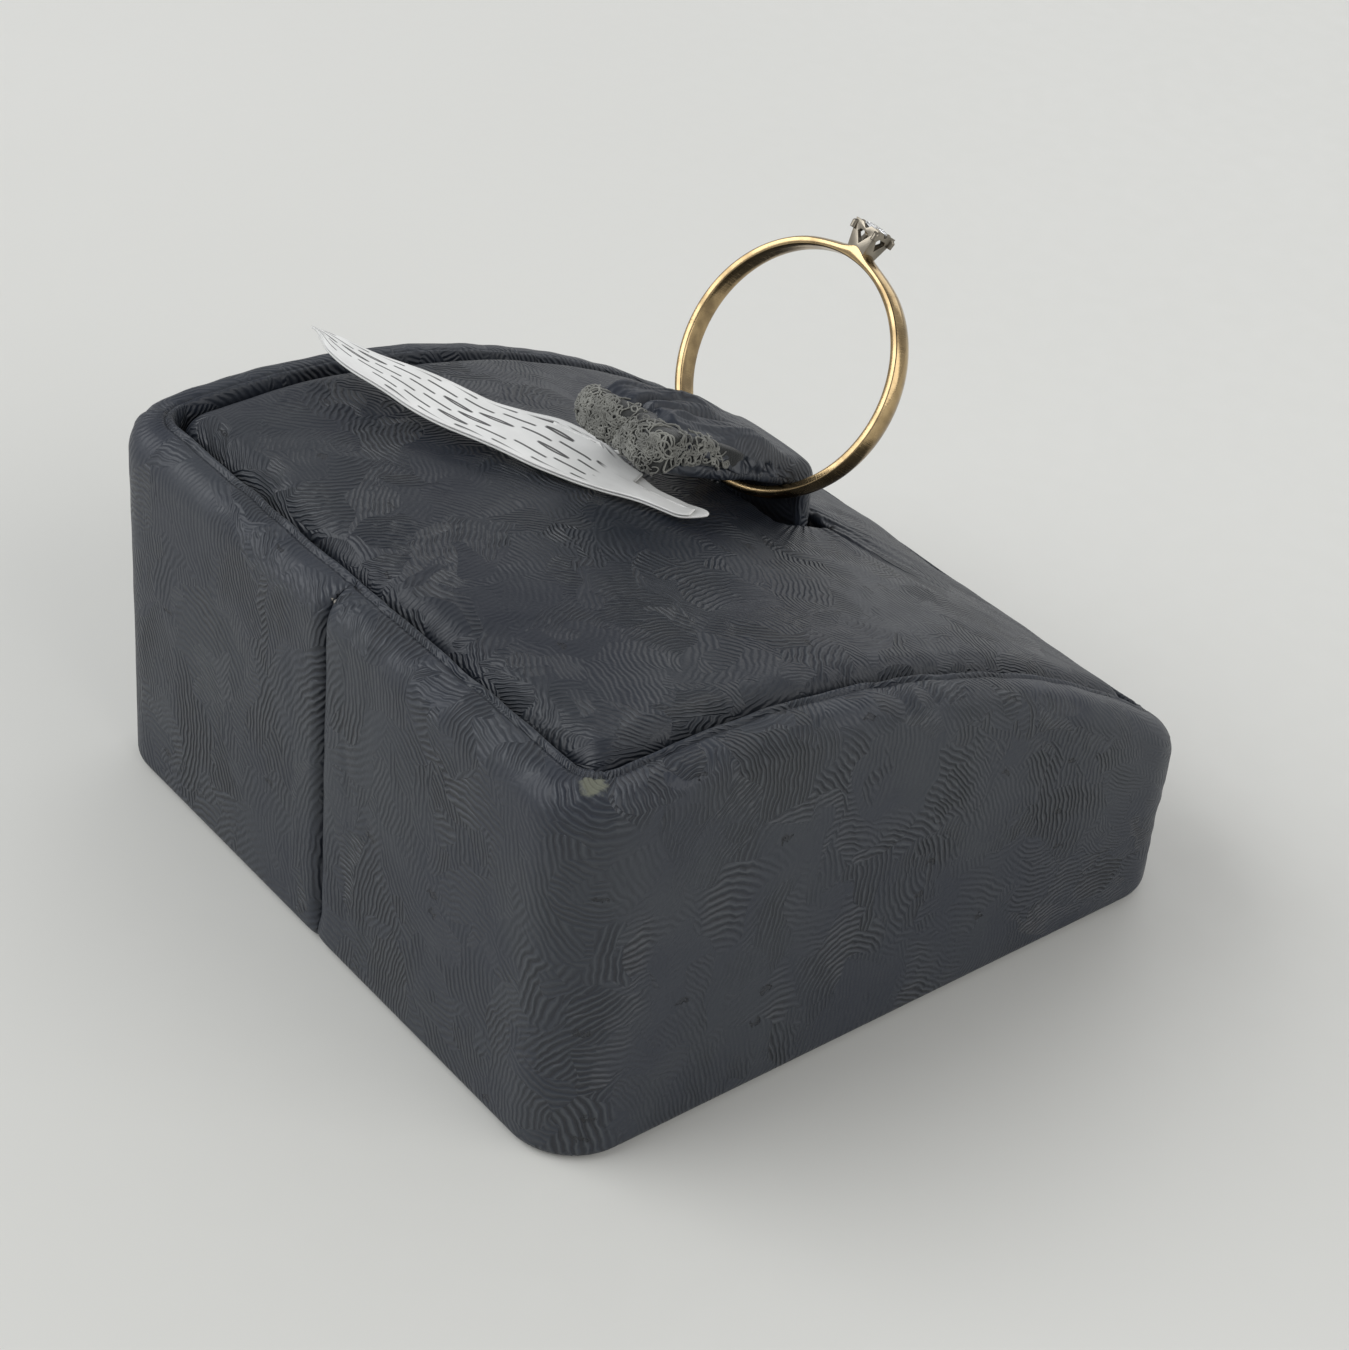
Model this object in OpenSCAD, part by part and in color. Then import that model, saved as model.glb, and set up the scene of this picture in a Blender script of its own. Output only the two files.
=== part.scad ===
// Slanted display block for one ring: a padded, leatherette-covered block with an arched top that
// falls from a tall back to a low front, a sprung clip tongue that holds the ring by its shank, and
// the ring with its folded paper tag.
// Frame: millimetres, origin under the middle of the block, +Z up, -Y the low front, +Y the tall back.

/* [Block] */
// Width across the two side faces
block_w = 54; // [50:0.5:60]
// Depth from the low front to the tall back
block_d = 54.5; // [50:0.5:60]
// Radius of the four upright corners
corner_r = 4.7; // [4:0.1:6]
// Height of the highest line of the arched top
crown_h = 28; // [27:0.1:31]
// How far the crown lies behind the middle
crown_y = 16.8; // [14:0.2:19]
// Radius of the arched top
arch_r = 68; // [64:1:80]

/* [Layers] */
// Flocked paper under the base
felt_t = 0.6; // [0.4:0.1:0.8]
// Greyboard base
base_card_t = 1.2; // [1:0.1:2]
// Leatherette
cover_t = 0.5; // [0.4:0.05:0.6]
// Foam sheet between the side board and its leatherette
wrap_foam_t = 0.5; // [0.3:0.05:0.8]
// Card band around the core
band_t = 1.6; // [1.2:0.1:2]
// Curved card under the deck pad
deck_card_t = 1.4; // [1:0.1:1.6]
// Foam of the deck pad
deck_foam_t = 2; // [1.5:0.1:2.4]
// How far the deck pad stands above the rim
deck_rise = 0.3; // [0:0.05:0.6]
// Gap between the turned-in rim and the deck pad
deck_gap = 0.2; // [0.1:0.05:0.5]
// How far the leatherette turns down inside the rim
turn_in = 3; // [2:0.1:3.2]
// How far the leatherette turns in under the base
turn_under = 3; // [2:0.1:5]

/* [Clip] */
// Sideways place of the clip's middle
clip_x = 1.4; // [-2:0.1:2]
// Width of the clip tongue
clip_w = 8.8; // [7:0.1:9.5]
// Back face of the clip's upright leg
clip_y = -9.3; // [-10:0.1:-8]
// Height of the tongue's inner elbow above the pad
clip_lift = 2.5; // [2.4:0.1:3]
// Slope of the tongue, in degrees
clip_rise = 22; // [18:1:26]
// Length of the tongue from its elbow
clip_len = 13; // [10:0.5:15]
// Greatest thickness of the tongue
clip_t = 3; // [2.6:0.1:3.4]
// Height of the fold that the clip flexes about
fold_z = 18.2; // [17.5:0.1:18.6]

/* [Ring] */
// Inside diameter of the ring
ring_id = 16.8; // [15:0.1:18]
// Thickness of the shank
shank_t = 0.75; // [0.6:0.05:1]
// Width of the shank
shank_w = 1.6; // [1.2:0.1:2]
// Where the shank meets the pad, front to back
seat_y = -6.6; // [-7:0.1:-6]
// How far the ring leans towards the front, in degrees
ring_lean = 32; // [28:1:36]
// Twist of the ring about the upright, in degrees
ring_yaw = 5; // [0:1:6]
// Turn of the ring's head away from its top, in degrees
head_turn = 6; // [0:1:20]
// Width of the square head
head_w = 2.2; // [1.8:0.1:3]
// Height of the head above the shank
head_h = 2; // [1.6:0.1:2.6]

/* [Tag] */
// Length of the folded tag
tag_len = 28; // [22:0.5:29]
// Width of the folded tag
tag_w = 7.6; // [5:0.1:8]
// Thickness of one leaf
leaf_t = 0.15; // [0.1:0.01:0.2]

/* [Hidden] */
$fn = 64;

big = 200;
arch_z = crown_h - arch_r;
wall_in = cover_t + wrap_foam_t + band_t;
deck_in = wall_in + cover_t + deck_gap;
base_top = felt_t + base_card_t;
under_z = 0.1;
deck_t = deck_card_t + deck_foam_t + cover_t;

// Height of the deck pad's surface at a place front to back
function pad_z(y) = arch_z + sqrt(pow(arch_r + deck_rise, 2) - pow(y - crown_y, 2));

// Clip: the elbow is the inner corner where the leg turns into the tongue
elbow_z = pad_z(clip_y) + clip_lift;
leg_under = 0.8;
leg_spring = 1.2;
leg_pad = 1.3;
leg_t = 1.9;
crown_u = clip_len / 2;
end_cap = 1;
slot_w = clip_w + 1.4;
slot_front = clip_y - leg_t - 1;
slot_back = seat_y - 0.4;
mortise_z = 11.5;
fold_gap = 0.2;
spring_w = clip_w - 1;

// Ring
ring_r = ring_id / 2 + shank_t;
ring_gap = 0.2;
seat_z = pad_z(seat_y) + ring_gap;
shank_crown_r = 1.7;
claw_r = 0.22;
ring_axis = [-sin(ring_yaw) * cos(ring_lean), cos(ring_yaw) * cos(ring_lean), sin(ring_lean)];
ring_up = [sin(ring_yaw) * sin(ring_lean), -cos(ring_yaw) * sin(ring_lean), cos(ring_lean)];
ring_side = [cos(ring_yaw), sin(ring_yaw), 0];
ring_c = [clip_x, seat_y, seat_z] + ring_r * ring_up;

// Tag: a leaf whose near edge curls up towards its far end
tag_root = [-3, 0.2, pad_z(0.2) + 1.1];
tag_yaw = 20;
tag_pitch = 5;
tag_roll_root = 9;
tag_roll_tip = 31;
tag_steps = 16;
leaf_gap = 0.02;
loop_turn = 24;
loop_t = 0.15;
loop_clear = 0.15;
loop_w = 1.6;
loop_c = ring_c + (ring_r - shank_t / 2) * (sin(loop_turn) * ring_side - cos(loop_turn) * ring_up);

// Rounded plan of the block, set in from its outer face
module plan(inset) {
    w = block_w - 2 * inset;
    d = block_d - 2 * inset;
    r = max(corner_r - inset, 0.8);
    square([w - 2 * r, d], center = true);
    square([w, d - 2 * r], center = true);
    for (sx = [-1, 1], sy = [-1, 1])
        translate([sx * (w / 2 - r), sy * (d / 2 - r)]) circle(r);
}

// Upright prism of the plan, cut off below the arch raised or lowered by rise
module arched(inset, z0, rise) {
    intersection() {
        translate([0, 0, z0]) linear_extrude(crown_h + 4 - z0) plan(inset);
        translate([-big / 2, crown_y, arch_z]) rotate([0, 90, 0])
            cylinder(r = arch_r + rise, h = big, $fn = 256);
    }
}

// Flat plate of the plan
module plate(inset, z0, t) {
    translate([0, 0, z0]) linear_extrude(t) plan(inset);
}

// Everything above the arch lowered by drop
module above_arch(drop) {
    difference() {
        translate([-big / 2, -big / 2, 0]) cube([big, big, crown_h + 10]);
        translate([-big / 2 - 1, crown_y, arch_z]) rotate([0, 90, 0])
            cylinder(r = arch_r - drop, h = big + 2, $fn = 256);
    }
}

// Opening that the clip's leg comes up through
module slot(z0) {
    translate([clip_x - slot_w / 2, slot_front, z0])
        cube([slot_w, slot_back - slot_front, crown_h + 4 - z0]);
}

// Profile in Y and Z, drawn along X about the clip's middle
module across(w) {
    translate([clip_x - w / 2, 0, 0]) rotate([90, 0, 90]) linear_extrude(w) children();
}

// One layer of the clip: leg, round elbow and straight tongue, between depths v0 and v1
module clip_layer(v0, v1, len) {
    leg_h = elbow_z - fold_z - fold_gap;
    translate([clip_y - v1, fold_z + fold_gap]) square([v1 - v0, leg_h]);
    translate([clip_y, elbow_z]) {
        intersection() {
            difference() {
                circle(v1);
                if (v0 > 0) circle(v0);
            }
            polygon([[0, 0], [-4, 0], [-4, 4], [-4 * sin(clip_rise), 4 * cos(clip_rise)]]);
        }
        rotate(clip_rise) translate([0, v0]) square([len, v1 - v0]);
    }
}

// Crowned top of the tongue, from the elbow's thickness v to the full thickness less drop
module clip_crown(v, base, drop) {
    translate([clip_y, elbow_z]) rotate(clip_rise)
        polygon([[0, base], [clip_len, base], [clip_len, clip_t - 0.1 - drop],
                 [crown_u, clip_t - drop], [crown_u / 2, clip_t - 0.35 - drop], [0, v]]);
}

module core_block() {
    color([0.62, 0.48, 0.34])
    difference() {
        arched(wall_in, base_top, deck_rise - deck_t);
        slot(mortise_z);
    }
}

module base_card() {
    color([0.55, 0.53, 0.5]) plate(cover_t, felt_t, base_card_t);
}

module base_felt() {
    color([0.1, 0.11, 0.13]) plate(turn_under + 0.2, 0, felt_t);
}

// Card band with its butt joint at the back
module side_band() {
    color([0.6, 0.58, 0.53])
    difference() {
        arched(cover_t + wrap_foam_t, base_top, -cover_t);
        arched(wall_in, base_top - 1, 10);
        translate([-0.1, 0, -1]) cube([0.2, block_d, crown_h + 6]);
    }
}

module side_foam() {
    color([0.75, 0.75, 0.72])
    difference() {
        arched(cover_t, base_top, -cover_t);
        arched(cover_t + wrap_foam_t, base_top - 1, 10);
        seam_groove();
    }
}

// Grooved butt seam where the two ends of the wrap meet
module seam_groove() {
    translate([0, block_d / 2, crown_h / 2]) rotate([0, 0, 45])
        cube([1, 1, crown_h + 8], center = true);
    translate([-0.1, 0, -1]) cube([0.2, block_d, crown_h + 6]);
}

// Leatherette around the sides, over the rim, down inside it and in under the base
module side_cover() {
    color([0.2, 0.22, 0.25])
    difference() {
        union() {
            difference() {
                arched(0, under_z, 0);
                arched(cover_t, felt_t, -cover_t);
                arched(wall_in + cover_t, felt_t, 20);
                plate(turn_under, 0, felt_t + 1);
            }
            difference() {
                intersection() {
                    arched(wall_in, base_top, 0);
                    above_arch(turn_in);
                }
                arched(wall_in + cover_t, base_top - 1, 20);
            }
        }
        seam_groove();
    }
}

module deck_card() {
    color([0.5, 0.47, 0.42])
    difference() {
        intersection() {
            arched(deck_in + cover_t, 5, deck_rise - cover_t - deck_foam_t);
            above_arch(deck_t - deck_rise);
        }
        slot(5);
    }
}

module deck_foam() {
    color([0.8, 0.8, 0.78])
    difference() {
        intersection() {
            arched(deck_in + cover_t, 5, deck_rise - cover_t);
            above_arch(deck_foam_t + cover_t - deck_rise);
        }
        slot(5);
    }
}

// Leatherette over the deck pad, turned down at its edges
module deck_cover() {
    color([0.18, 0.2, 0.24])
    difference() {
        intersection() {
            arched(deck_in, 5, deck_rise);
            above_arch(deck_t - deck_rise);
        }
        arched(deck_in + cover_t, 4, deck_rise - cover_t);
        slot(5);
    }
}

// Packing glued in front of and behind the clip's foot
module clip_wedge() {
    color([0.7, 0.56, 0.4]) {
        translate([clip_x - slot_w / 2, slot_front, mortise_z])
            cube([slot_w, clip_y - leg_spring - slot_front, fold_z - 0.6 - mortise_z]);
        translate([clip_x - slot_w / 2, clip_y - leg_under, mortise_z])
            cube([slot_w, slot_back - clip_y + leg_under, fold_z - 0.6 - mortise_z]);
    }
}

// Fixed lower leg of the spring strip
module clip_foot() {
    color([0.55, 0.56, 0.58])
        across(spring_w) translate([clip_y - leg_spring, mortise_z])
            square([leg_spring - leg_under, fold_z - fold_gap - mortise_z]);
}

module clip_spring() {
    color([0.55, 0.56, 0.58]) across(spring_w) clip_layer(leg_under, leg_spring, clip_len);
}

// Knit-backed filling, rolled over the tongue's free end
module clip_pad() {
    color([0.45, 0.45, 0.43])
    across(clip_w) {
        clip_layer(leg_spring, leg_pad, clip_len);
        clip_crown(leg_pad, leg_spring, leg_t - leg_pad);
        translate([clip_y, elbow_z]) rotate(clip_rise) translate([clip_len, 0]) {
            translate([0, 0.1]) square([end_cap / 2, clip_t - 0.3]);
            translate([0, 0.1 + end_cap / 2]) square([end_cap, clip_t - 0.3 - end_cap]);
            for (v = [0.1 + end_cap / 2, clip_t - 0.2 - end_cap / 2])
                translate([end_cap / 2, v]) circle(end_cap / 2);
        }
    }
}

// Leatherette up the front of the leg and over the tongue
module clip_top_cover() {
    color([0.2, 0.22, 0.25])
    across(clip_w) difference() {
        union() {
            clip_layer(leg_pad, leg_t, clip_len / 4);
            clip_crown(leg_t, leg_pad, 0);
        }
        clip_crown(leg_pad, 0, leg_t - leg_pad);
    }
}

// Leatherette up the back of the leg and under the tongue
module clip_under_cover() {
    color([0.15, 0.16, 0.19]) across(clip_w) clip_layer(0, leg_under, clip_len);
}

// Ring frame: Z along the finger hole, -Y towards the top of the ring
module ring_frame() {
    translate(ring_c) rotate([0, 0, ring_yaw]) rotate([ring_lean - 90, 0, 0]) children();
}

// Head frame: Z outwards from the middle of the ring
module head_frame() {
    ring_frame() rotate([0, 0, -head_turn]) rotate([90, 0, 0]) children();
}

// Plain band with a crowned outer face
module shank_body() {
    ring_frame() rotate_extrude($fn = 128) intersection() {
        translate([ring_id / 2, -shank_w / 2]) square([shank_t, shank_w]);
        translate([ring_r - shank_crown_r, 0]) circle(shank_crown_r);
    }
}

module ring_shank() {
    color([0.83, 0.66, 0.38]) shank_body();
}

// White metal head: foot, pierced gallery and four corner claws, seated on the shank and the stone
module ring_collet() {
    foot_w = head_w * 0.66;
    lean = atan2(head_w * 0.17, head_h * 0.9);
    color([0.8, 0.79, 0.76])
    difference() {
        head_frame() {
            translate([-foot_w / 2, -foot_w / 2, ring_r - 0.2]) cube([foot_w, foot_w, head_h * 0.4]);
            translate([0, 0, ring_r + head_h * 0.56]) difference() {
                cube([head_w * 0.94, head_w * 0.94, 0.3], center = true);
                cylinder(r = head_w * 0.34, h = 1, center = true);
            }
            for (a = [0:90:270])
                rotate([0, 0, a + 45])
                    translate([head_w * 0.47, 0, ring_r + 0.05])
                        rotate([0, lean, 0]) {
                            cylinder(r = claw_r, h = head_h - claw_r);
                            translate([0, 0, head_h - claw_r]) sphere(claw_r);
                        }
        }
        shank_body();
        stone_body();
    }
}

module stone_body() {
    g = head_w * 0.52;
    head_frame() translate([0, 0, ring_r + head_h * 0.78])
        rotate_extrude() polygon([[0, -g * 0.75], [g, -0.04], [g, 0.04],
                                  [g * 0.58, g * 0.28], [0, g * 0.28]]);
}

module ring_stone() {
    color([0.9, 0.93, 0.95, 0.6]) stone_body();
}

// Place on the tag's middle line, its roll, and half its width, at a share s of its length
function tag_mid(s) = tag_root + [
    s * tag_len * cos(tag_yaw),
    s * tag_len * sin(tag_yaw),
    s * tag_len * tan(tag_pitch)];
function tag_roll(s) = tag_roll_root + (tag_roll_tip - tag_roll_root) * pow(max(s, 0), 1.4);
function tag_half(s, root_half) = s < 0.25 ? root_half + (tag_w / 2 - root_half) * max(s, 0) * 4
    : s > 0.85 ? tag_w / 2 * (1 - (s - 0.85) * 3.4) : tag_w / 2;
function tag_across(s) = [-sin(tag_yaw) * cos(tag_roll(s)),
                          cos(tag_yaw) * cos(tag_roll(s)), sin(tag_roll(s))];
function tag_normal(s) = [sin(tag_yaw) * sin(tag_roll(s)),
                          -cos(tag_yaw) * sin(tag_roll(s)), cos(tag_roll(s))];

// Thin curled leaf between shares s0 and s1 of the tag's length
module leaf(s0, s1, low, high, root_half) {
    n = tag_steps;
    corners = [for (i = [0:n])
        let (s = s0 + (s1 - s0) * i / n, h = tag_half(s, root_half))
        for (c = [[-h, low], [h, low], [h, high], [-h, high]])
            tag_mid(s) + tag_across(s) * c[0] + tag_normal(s) * c[1]];
    walls = [for (i = [0:n - 1], k = [0:3])
        let (a = 4 * i + k, b = 4 * i + (k + 1) % 4)
        each k == 2 ? [[a, b, b + 4], [a, b + 4, a + 4]] : [[a, b, a + 4], [b, b + 4, a + 4]]];
    ends = [[0, 2, 1], [0, 3, 2], [4 * n, 4 * n + 1, 4 * n + 2], [4 * n, 4 * n + 2, 4 * n + 3]];
    polyhedron(corners, concat(walls, ends));
}

module tag_leaf() {
    color([0.93, 0.93, 0.9]) leaf(0.06, 1, leaf_gap, leaf_t, 2.6);
}

module tag_backing() {
    color([0.9, 0.9, 0.87]) leaf(-0.04, 0.98, -leaf_t, -leaf_gap, 1.6);
}

// Narrow tail of the tag: a loop about the shank and a strip back to the leaf
module tag_tail() {
    inner = [loop_w + 1, shank_t + 2 * loop_clear, shank_w + 2 * loop_clear];
    outer = [loop_w, shank_t + 2 * (loop_clear + loop_t), shank_w + 2 * (loop_clear + loop_t)];
    color([0.92, 0.92, 0.89]) {
        ring_frame() rotate([0, 0, -loop_turn]) translate([0, ring_r - shank_t / 2, 0])
            difference() {
                cube(outer, center = true);
                cube(inner, center = true);
            }
        tail_strip();
    }
}

// Strip from the loop's back to the underside of the leaf
module tail_strip() {
    p = loop_c + (shank_w / 2 + loop_clear + 0.02) * ring_axis;
    q = [p[0], 0.9, pad_z(0.9) + 0.65];
    run = norm([q[1] - p[1], q[2] - p[2]]);
    rise = atan2(q[2] - p[2], q[1] - p[1]);
    translate([p[0] - loop_w / 2, p[1], p[2]]) rotate([rise, 0, 0])
        cube([loop_w, run, 2 * loop_t]);
}

core_block();
base_card();
base_felt();
side_band();
side_foam();
side_cover();
deck_card();
deck_foam();
deck_cover();
clip_wedge();
clip_foot();
clip_spring();
clip_pad();
clip_top_cover();
clip_under_cover();
ring_shank();
ring_collet();
ring_stone();
tag_leaf();
tag_backing();
tag_tail();
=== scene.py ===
"""A slanted ring display block: padded leatherette, a sprung clip tongue, a gold ring and its tag."""

import logging
import math
from dataclasses import dataclass, field
from enum import Enum
from typing import Sequence

import bmesh
import bpy
import numpy as np
from mathutils import Matrix, Vector
from mathutils.bvhtree import BVHTree


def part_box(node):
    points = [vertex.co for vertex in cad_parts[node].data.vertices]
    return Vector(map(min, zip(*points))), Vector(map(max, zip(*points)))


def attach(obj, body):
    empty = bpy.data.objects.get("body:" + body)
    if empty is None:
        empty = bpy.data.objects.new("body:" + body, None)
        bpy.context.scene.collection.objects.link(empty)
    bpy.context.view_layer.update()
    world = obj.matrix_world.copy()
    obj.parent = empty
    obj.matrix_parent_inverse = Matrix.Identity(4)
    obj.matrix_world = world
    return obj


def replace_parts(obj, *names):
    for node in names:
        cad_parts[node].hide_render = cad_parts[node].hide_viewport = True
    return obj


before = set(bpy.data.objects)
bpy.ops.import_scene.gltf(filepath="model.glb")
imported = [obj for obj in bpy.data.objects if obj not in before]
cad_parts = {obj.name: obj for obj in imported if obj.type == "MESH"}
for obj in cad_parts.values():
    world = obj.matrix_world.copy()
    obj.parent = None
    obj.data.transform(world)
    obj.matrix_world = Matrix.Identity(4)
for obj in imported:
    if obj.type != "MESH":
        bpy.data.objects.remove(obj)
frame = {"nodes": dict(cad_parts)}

MM = 0.001
LOG = logging.getLogger("ring_block")
# A Mix node keeps the sockets of all its data types: these are the factor, A and B of the colour one
MIX_COLOUR_INPUTS = (0, 6, 7)
MIX_COLOUR_OUTPUT = 2
ORIGIN = (0.0, 0.0, 0.0)

Array = np.ndarray
Socket = bpy.types.NodeSocket


class Slot(Enum):
    """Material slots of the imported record."""

    CORE = "core_wood"
    BOARD = "greyboard"
    FLOCK = "flock_paper"
    FOAM = "foam"
    LEATHERETTE = "leatherette"
    SPRING = "spring_steel"
    KNIT = "knit_backing"
    YELLOW_GOLD = "yellow_gold"
    WHITE_GOLD = "white_gold"
    GEM = "gem"
    PAPER = "tag_paper"


class Body(Enum):
    """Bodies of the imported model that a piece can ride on."""

    BLOCK = "block"
    CLIP = "clip"
    RING = "ring"
    TAG = "tag"


# ---------------------------------------------------------------- small mathematics


def node_box(name: str) -> tuple[Array, Array]:
    """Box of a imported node.

    Args:
        name: the node's name.

    Returns:
        Its lowest and highest corners in millimetres.
    """
    low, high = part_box(name)
    return np.array(low) / MM, np.array(high) / MM


def smooth_step(low: float, high: float, value: Array) -> Array:
    """Smooth ramp from 0 at low to 1 at high."""
    share = np.clip((value - low) / (high - low), 0.0, 1.0)
    return share * share * (3.0 - 2.0 * share)


def bump(value: Array, centre: float, width: float) -> Array:
    """Bell of height 1 about a centre."""
    return np.exp(-(((value - centre) / width) ** 2))


def unit(vectors: Array, axis: int = 1) -> Array:
    """Vectors cut to length 1."""
    return vectors / np.linalg.norm(vectors, axis=axis, keepdims=True)


def bearing(azimuth: float, elevation: float) -> Vector:
    """Direction from the object towards an azimuth and elevation in degrees."""
    az, el = math.radians(azimuth), math.radians(elevation)
    return Vector((math.sin(az) * math.cos(el), -math.cos(az) * math.cos(el), math.sin(el)))


@dataclass(frozen=True)
class Curve:
    """A smooth function through a few points, with flat ends."""

    places: tuple[float, ...]
    values: tuple[float, ...]

    def at(self, place: Array) -> Array:
        """Value at a place, by monotone cubic steps.

        Args:
            place: places to read at.

        Returns:
            The curve's values there.
        """
        x, y = np.array(self.places, float), np.array(self.values, float)
        slope = np.diff(y) / np.diff(x)
        tangent = np.zeros_like(y)
        same = slope[1:] * slope[:-1] > 0
        tangent[1:-1][same] = (2 * slope[1:] * slope[:-1] / (slope[1:] + slope[:-1] + 1e-12))[same]
        at = np.clip(np.asarray(place, float), x[0], x[-1])
        k = np.clip(np.searchsorted(x, at, side="right") - 1, 0, len(x) - 2)
        h = x[k + 1] - x[k]
        t = (at - x[k]) / h
        t2, t3 = t * t, t * t * t
        return ((2 * t3 - 3 * t2 + 1) * y[k] + (t3 - 2 * t2 + t) * h * tangent[k]
                + (3 * t2 - 2 * t3) * y[k + 1] + (t3 - t2) * h * tangent[k + 1])


@dataclass(frozen=True)
class Ripple:
    """Gentle unevenness: a sum of plane waves with seeded directions and phases."""

    seed: int
    wavelength: float
    height: float
    waves: int = 14

    def at(self, *axes: Array) -> Array:
        """Unevenness at points.

        Args:
            axes: two or three arrays of the points' coordinates, in millimetres.

        Returns:
            Heights in millimetres, of one shape with the coordinates.
        """
        random = np.random.default_rng(self.seed)
        total = np.zeros(np.broadcast(*axes).shape)
        for _ in range(self.waves):
            direction = random.normal(size=len(axes))
            direction /= np.linalg.norm(direction)
            number = 2 * math.pi / (self.wavelength * random.uniform(0.6, 1.6))
            phase = random.uniform(0, 2 * math.pi)
            total += np.sin(number * sum(d * a for d, a in zip(direction, axes)) + phase)
        return self.height * total / math.sqrt(self.waves / 2)


# ---------------------------------------------------------------- mesh making


def grid_quads(rows: int, cols: int, closed_rows: bool, closed_cols: bool, start: int = 0) -> list[tuple]:
    """Faces of a grid of points.

    Args:
        rows: how many rows of points.
        cols: how many points in a row.
        closed_rows: whether the last row joins the first.
        closed_cols: whether the last point of a row joins its first.
        start: index of the grid's first point.

    Returns:
        Pairs of a face's point indices and its corners' unwrapped row and column.
    """
    faces = []
    for r in range(rows if closed_rows else rows - 1):
        for c in range(cols if closed_cols else cols - 1):
            corners = ((r, c), (r, c + 1), (r + 1, c + 1), (r + 1, c))
            faces.append((tuple(start + (i % rows) * cols + j % cols for i, j in corners), corners))
    return faces


def piece_from(name: str, points: Array, faces: Sequence[tuple],
               maps: Array | None = None) -> bpy.types.Object:
    """A mesh object from points in millimetres.

    Args:
        name: the piece's name.
        points: N by 3 points in millimetres.
        faces: point indices of each face.
        maps: for each face corner in turn, its place on the flat material in millimetres.

    Returns:
        The new object, with smooth shading and faces that look outwards.
    """
    mesh = bpy.data.meshes.new(name)
    mesh.from_pydata((np.asarray(points) * MM).tolist(), [], [list(f) for f in faces])
    if maps is not None:
        layer = mesh.uv_layers.new(name="Flat")
        layer.data.foreach_set("uv", np.asarray(maps, np.float32).ravel())
    work = bmesh.new()
    work.from_mesh(mesh)
    bmesh.ops.recalc_face_normals(work, faces=work.faces)
    work.to_mesh(mesh)
    work.free()
    mesh.shade_smooth()
    piece = bpy.data.objects.new(name, mesh)
    bpy.context.scene.collection.objects.link(piece)
    return piece


def tube_of_grid(name: str, grid: Array, flat: Array | None = None, closed_cols: bool = True,
                 closed_rows: bool = False) -> bpy.types.Object:
    """A closed skin through a grid of points whose open ends are capped.

    Args:
        name: the piece's name.
        grid: rows by columns by 3 points in millimetres.
        flat: places of the points on the flat material, with a further row and column where it closes.
        closed_cols: whether each row is a loop.
        closed_rows: whether the last row joins the first.

    Returns:
        The new object.
    """
    rows, cols = grid.shape[:2]
    if flat is None:
        flat = flat_places(grid, closed_rows, closed_cols)
    quads = grid_quads(rows, cols, closed_rows, closed_cols)
    faces = [q[0] for q in quads]
    maps = [flat[i, j] for q in quads for i, j in q[1]]
    points = grid.reshape(-1, 3)
    if not closed_rows:
        for row in (0, rows - 1):
            middle = len(points)
            points = np.vstack([points, grid[row].mean(0)])
            centre = flat[row, :cols].mean(0)
            for c in range(cols):
                faces.append((row * cols + c, row * cols + (c + 1) % cols, middle))
                maps += [flat[row, c], flat[row, c + 1], centre]
    return piece_from(name, points, faces, np.array(maps))


def flat_places(grid: Array, closed_rows: bool, closed_cols: bool) -> Array:
    """Lengths along a grid's rows and columns, as places on its flat material.

    Args:
        grid: rows by columns by 3 points in millimetres.
        closed_rows: whether a further row is needed.
        closed_cols: whether a further column is needed.

    Returns:
        Rows by columns by 2 places in millimetres.
    """
    rows, cols = grid.shape[:2]
    down = np.concatenate([grid, grid[:1]]) if closed_rows else grid
    across = np.concatenate([grid, grid[:, :1]], axis=1) if closed_cols else grid
    v = np.concatenate([[0], np.cumsum(np.linalg.norm(np.diff(down, axis=0), axis=2).mean(1))])
    u = np.concatenate([[0], np.cumsum(np.linalg.norm(np.diff(across, axis=1), axis=2).mean(0))])
    return np.stack(np.meshgrid(u, v), axis=2)[:rows + closed_rows, :cols + closed_cols]


def thick_sheet(name: str, outer: Array, inner: Array, flat: Array | None = None,
                closed_cols: bool = False) -> bpy.types.Object:
    """A sheet with thickness from its two faces, closed along every edge.

    Args:
        name: the piece's name.
        outer: rows by columns by 3 points of the outer face, in millimetres.
        inner: the same for the inner face.
        flat: places on the flat material of both faces.
        closed_cols: whether each row is a loop.

    Returns:
        The new object.
    """
    rows, cols = outer.shape[:2]
    if flat is None:
        flat = flat_places(outer, False, closed_cols)
    count = rows * cols
    front = grid_quads(rows, cols, False, closed_cols)
    back = grid_quads(rows, cols, False, closed_cols, start=count)
    faces = [q[0] for q in front] + [q[0][::-1] for q in back]
    maps = [flat[i, j] for q in front for i, j in q[1]]
    maps += [flat[i, j] for q in back for i, j in q[1][::-1]]
    edges = [((r, c), (r, c + 1)) for r in (0, rows - 1) for c in range(cols if closed_cols else cols - 1)]
    if not closed_cols:
        edges += [((r, c), (r + 1, c)) for c in (0, cols - 1) for r in range(rows - 1)]
    for (r0, c0), (r1, c1) in edges:
        a, b = r0 * cols + c0 % cols, r1 * cols + c1 % cols
        faces.append((a, b, b + count, a + count))
        maps += [flat[r0, c0], flat[r1, c1], flat[r1, c1], flat[r0, c0]]
    points = np.concatenate([outer.reshape(-1, 3), inner.reshape(-1, 3)])
    return piece_from(name, points, faces, np.array(maps))


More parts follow.
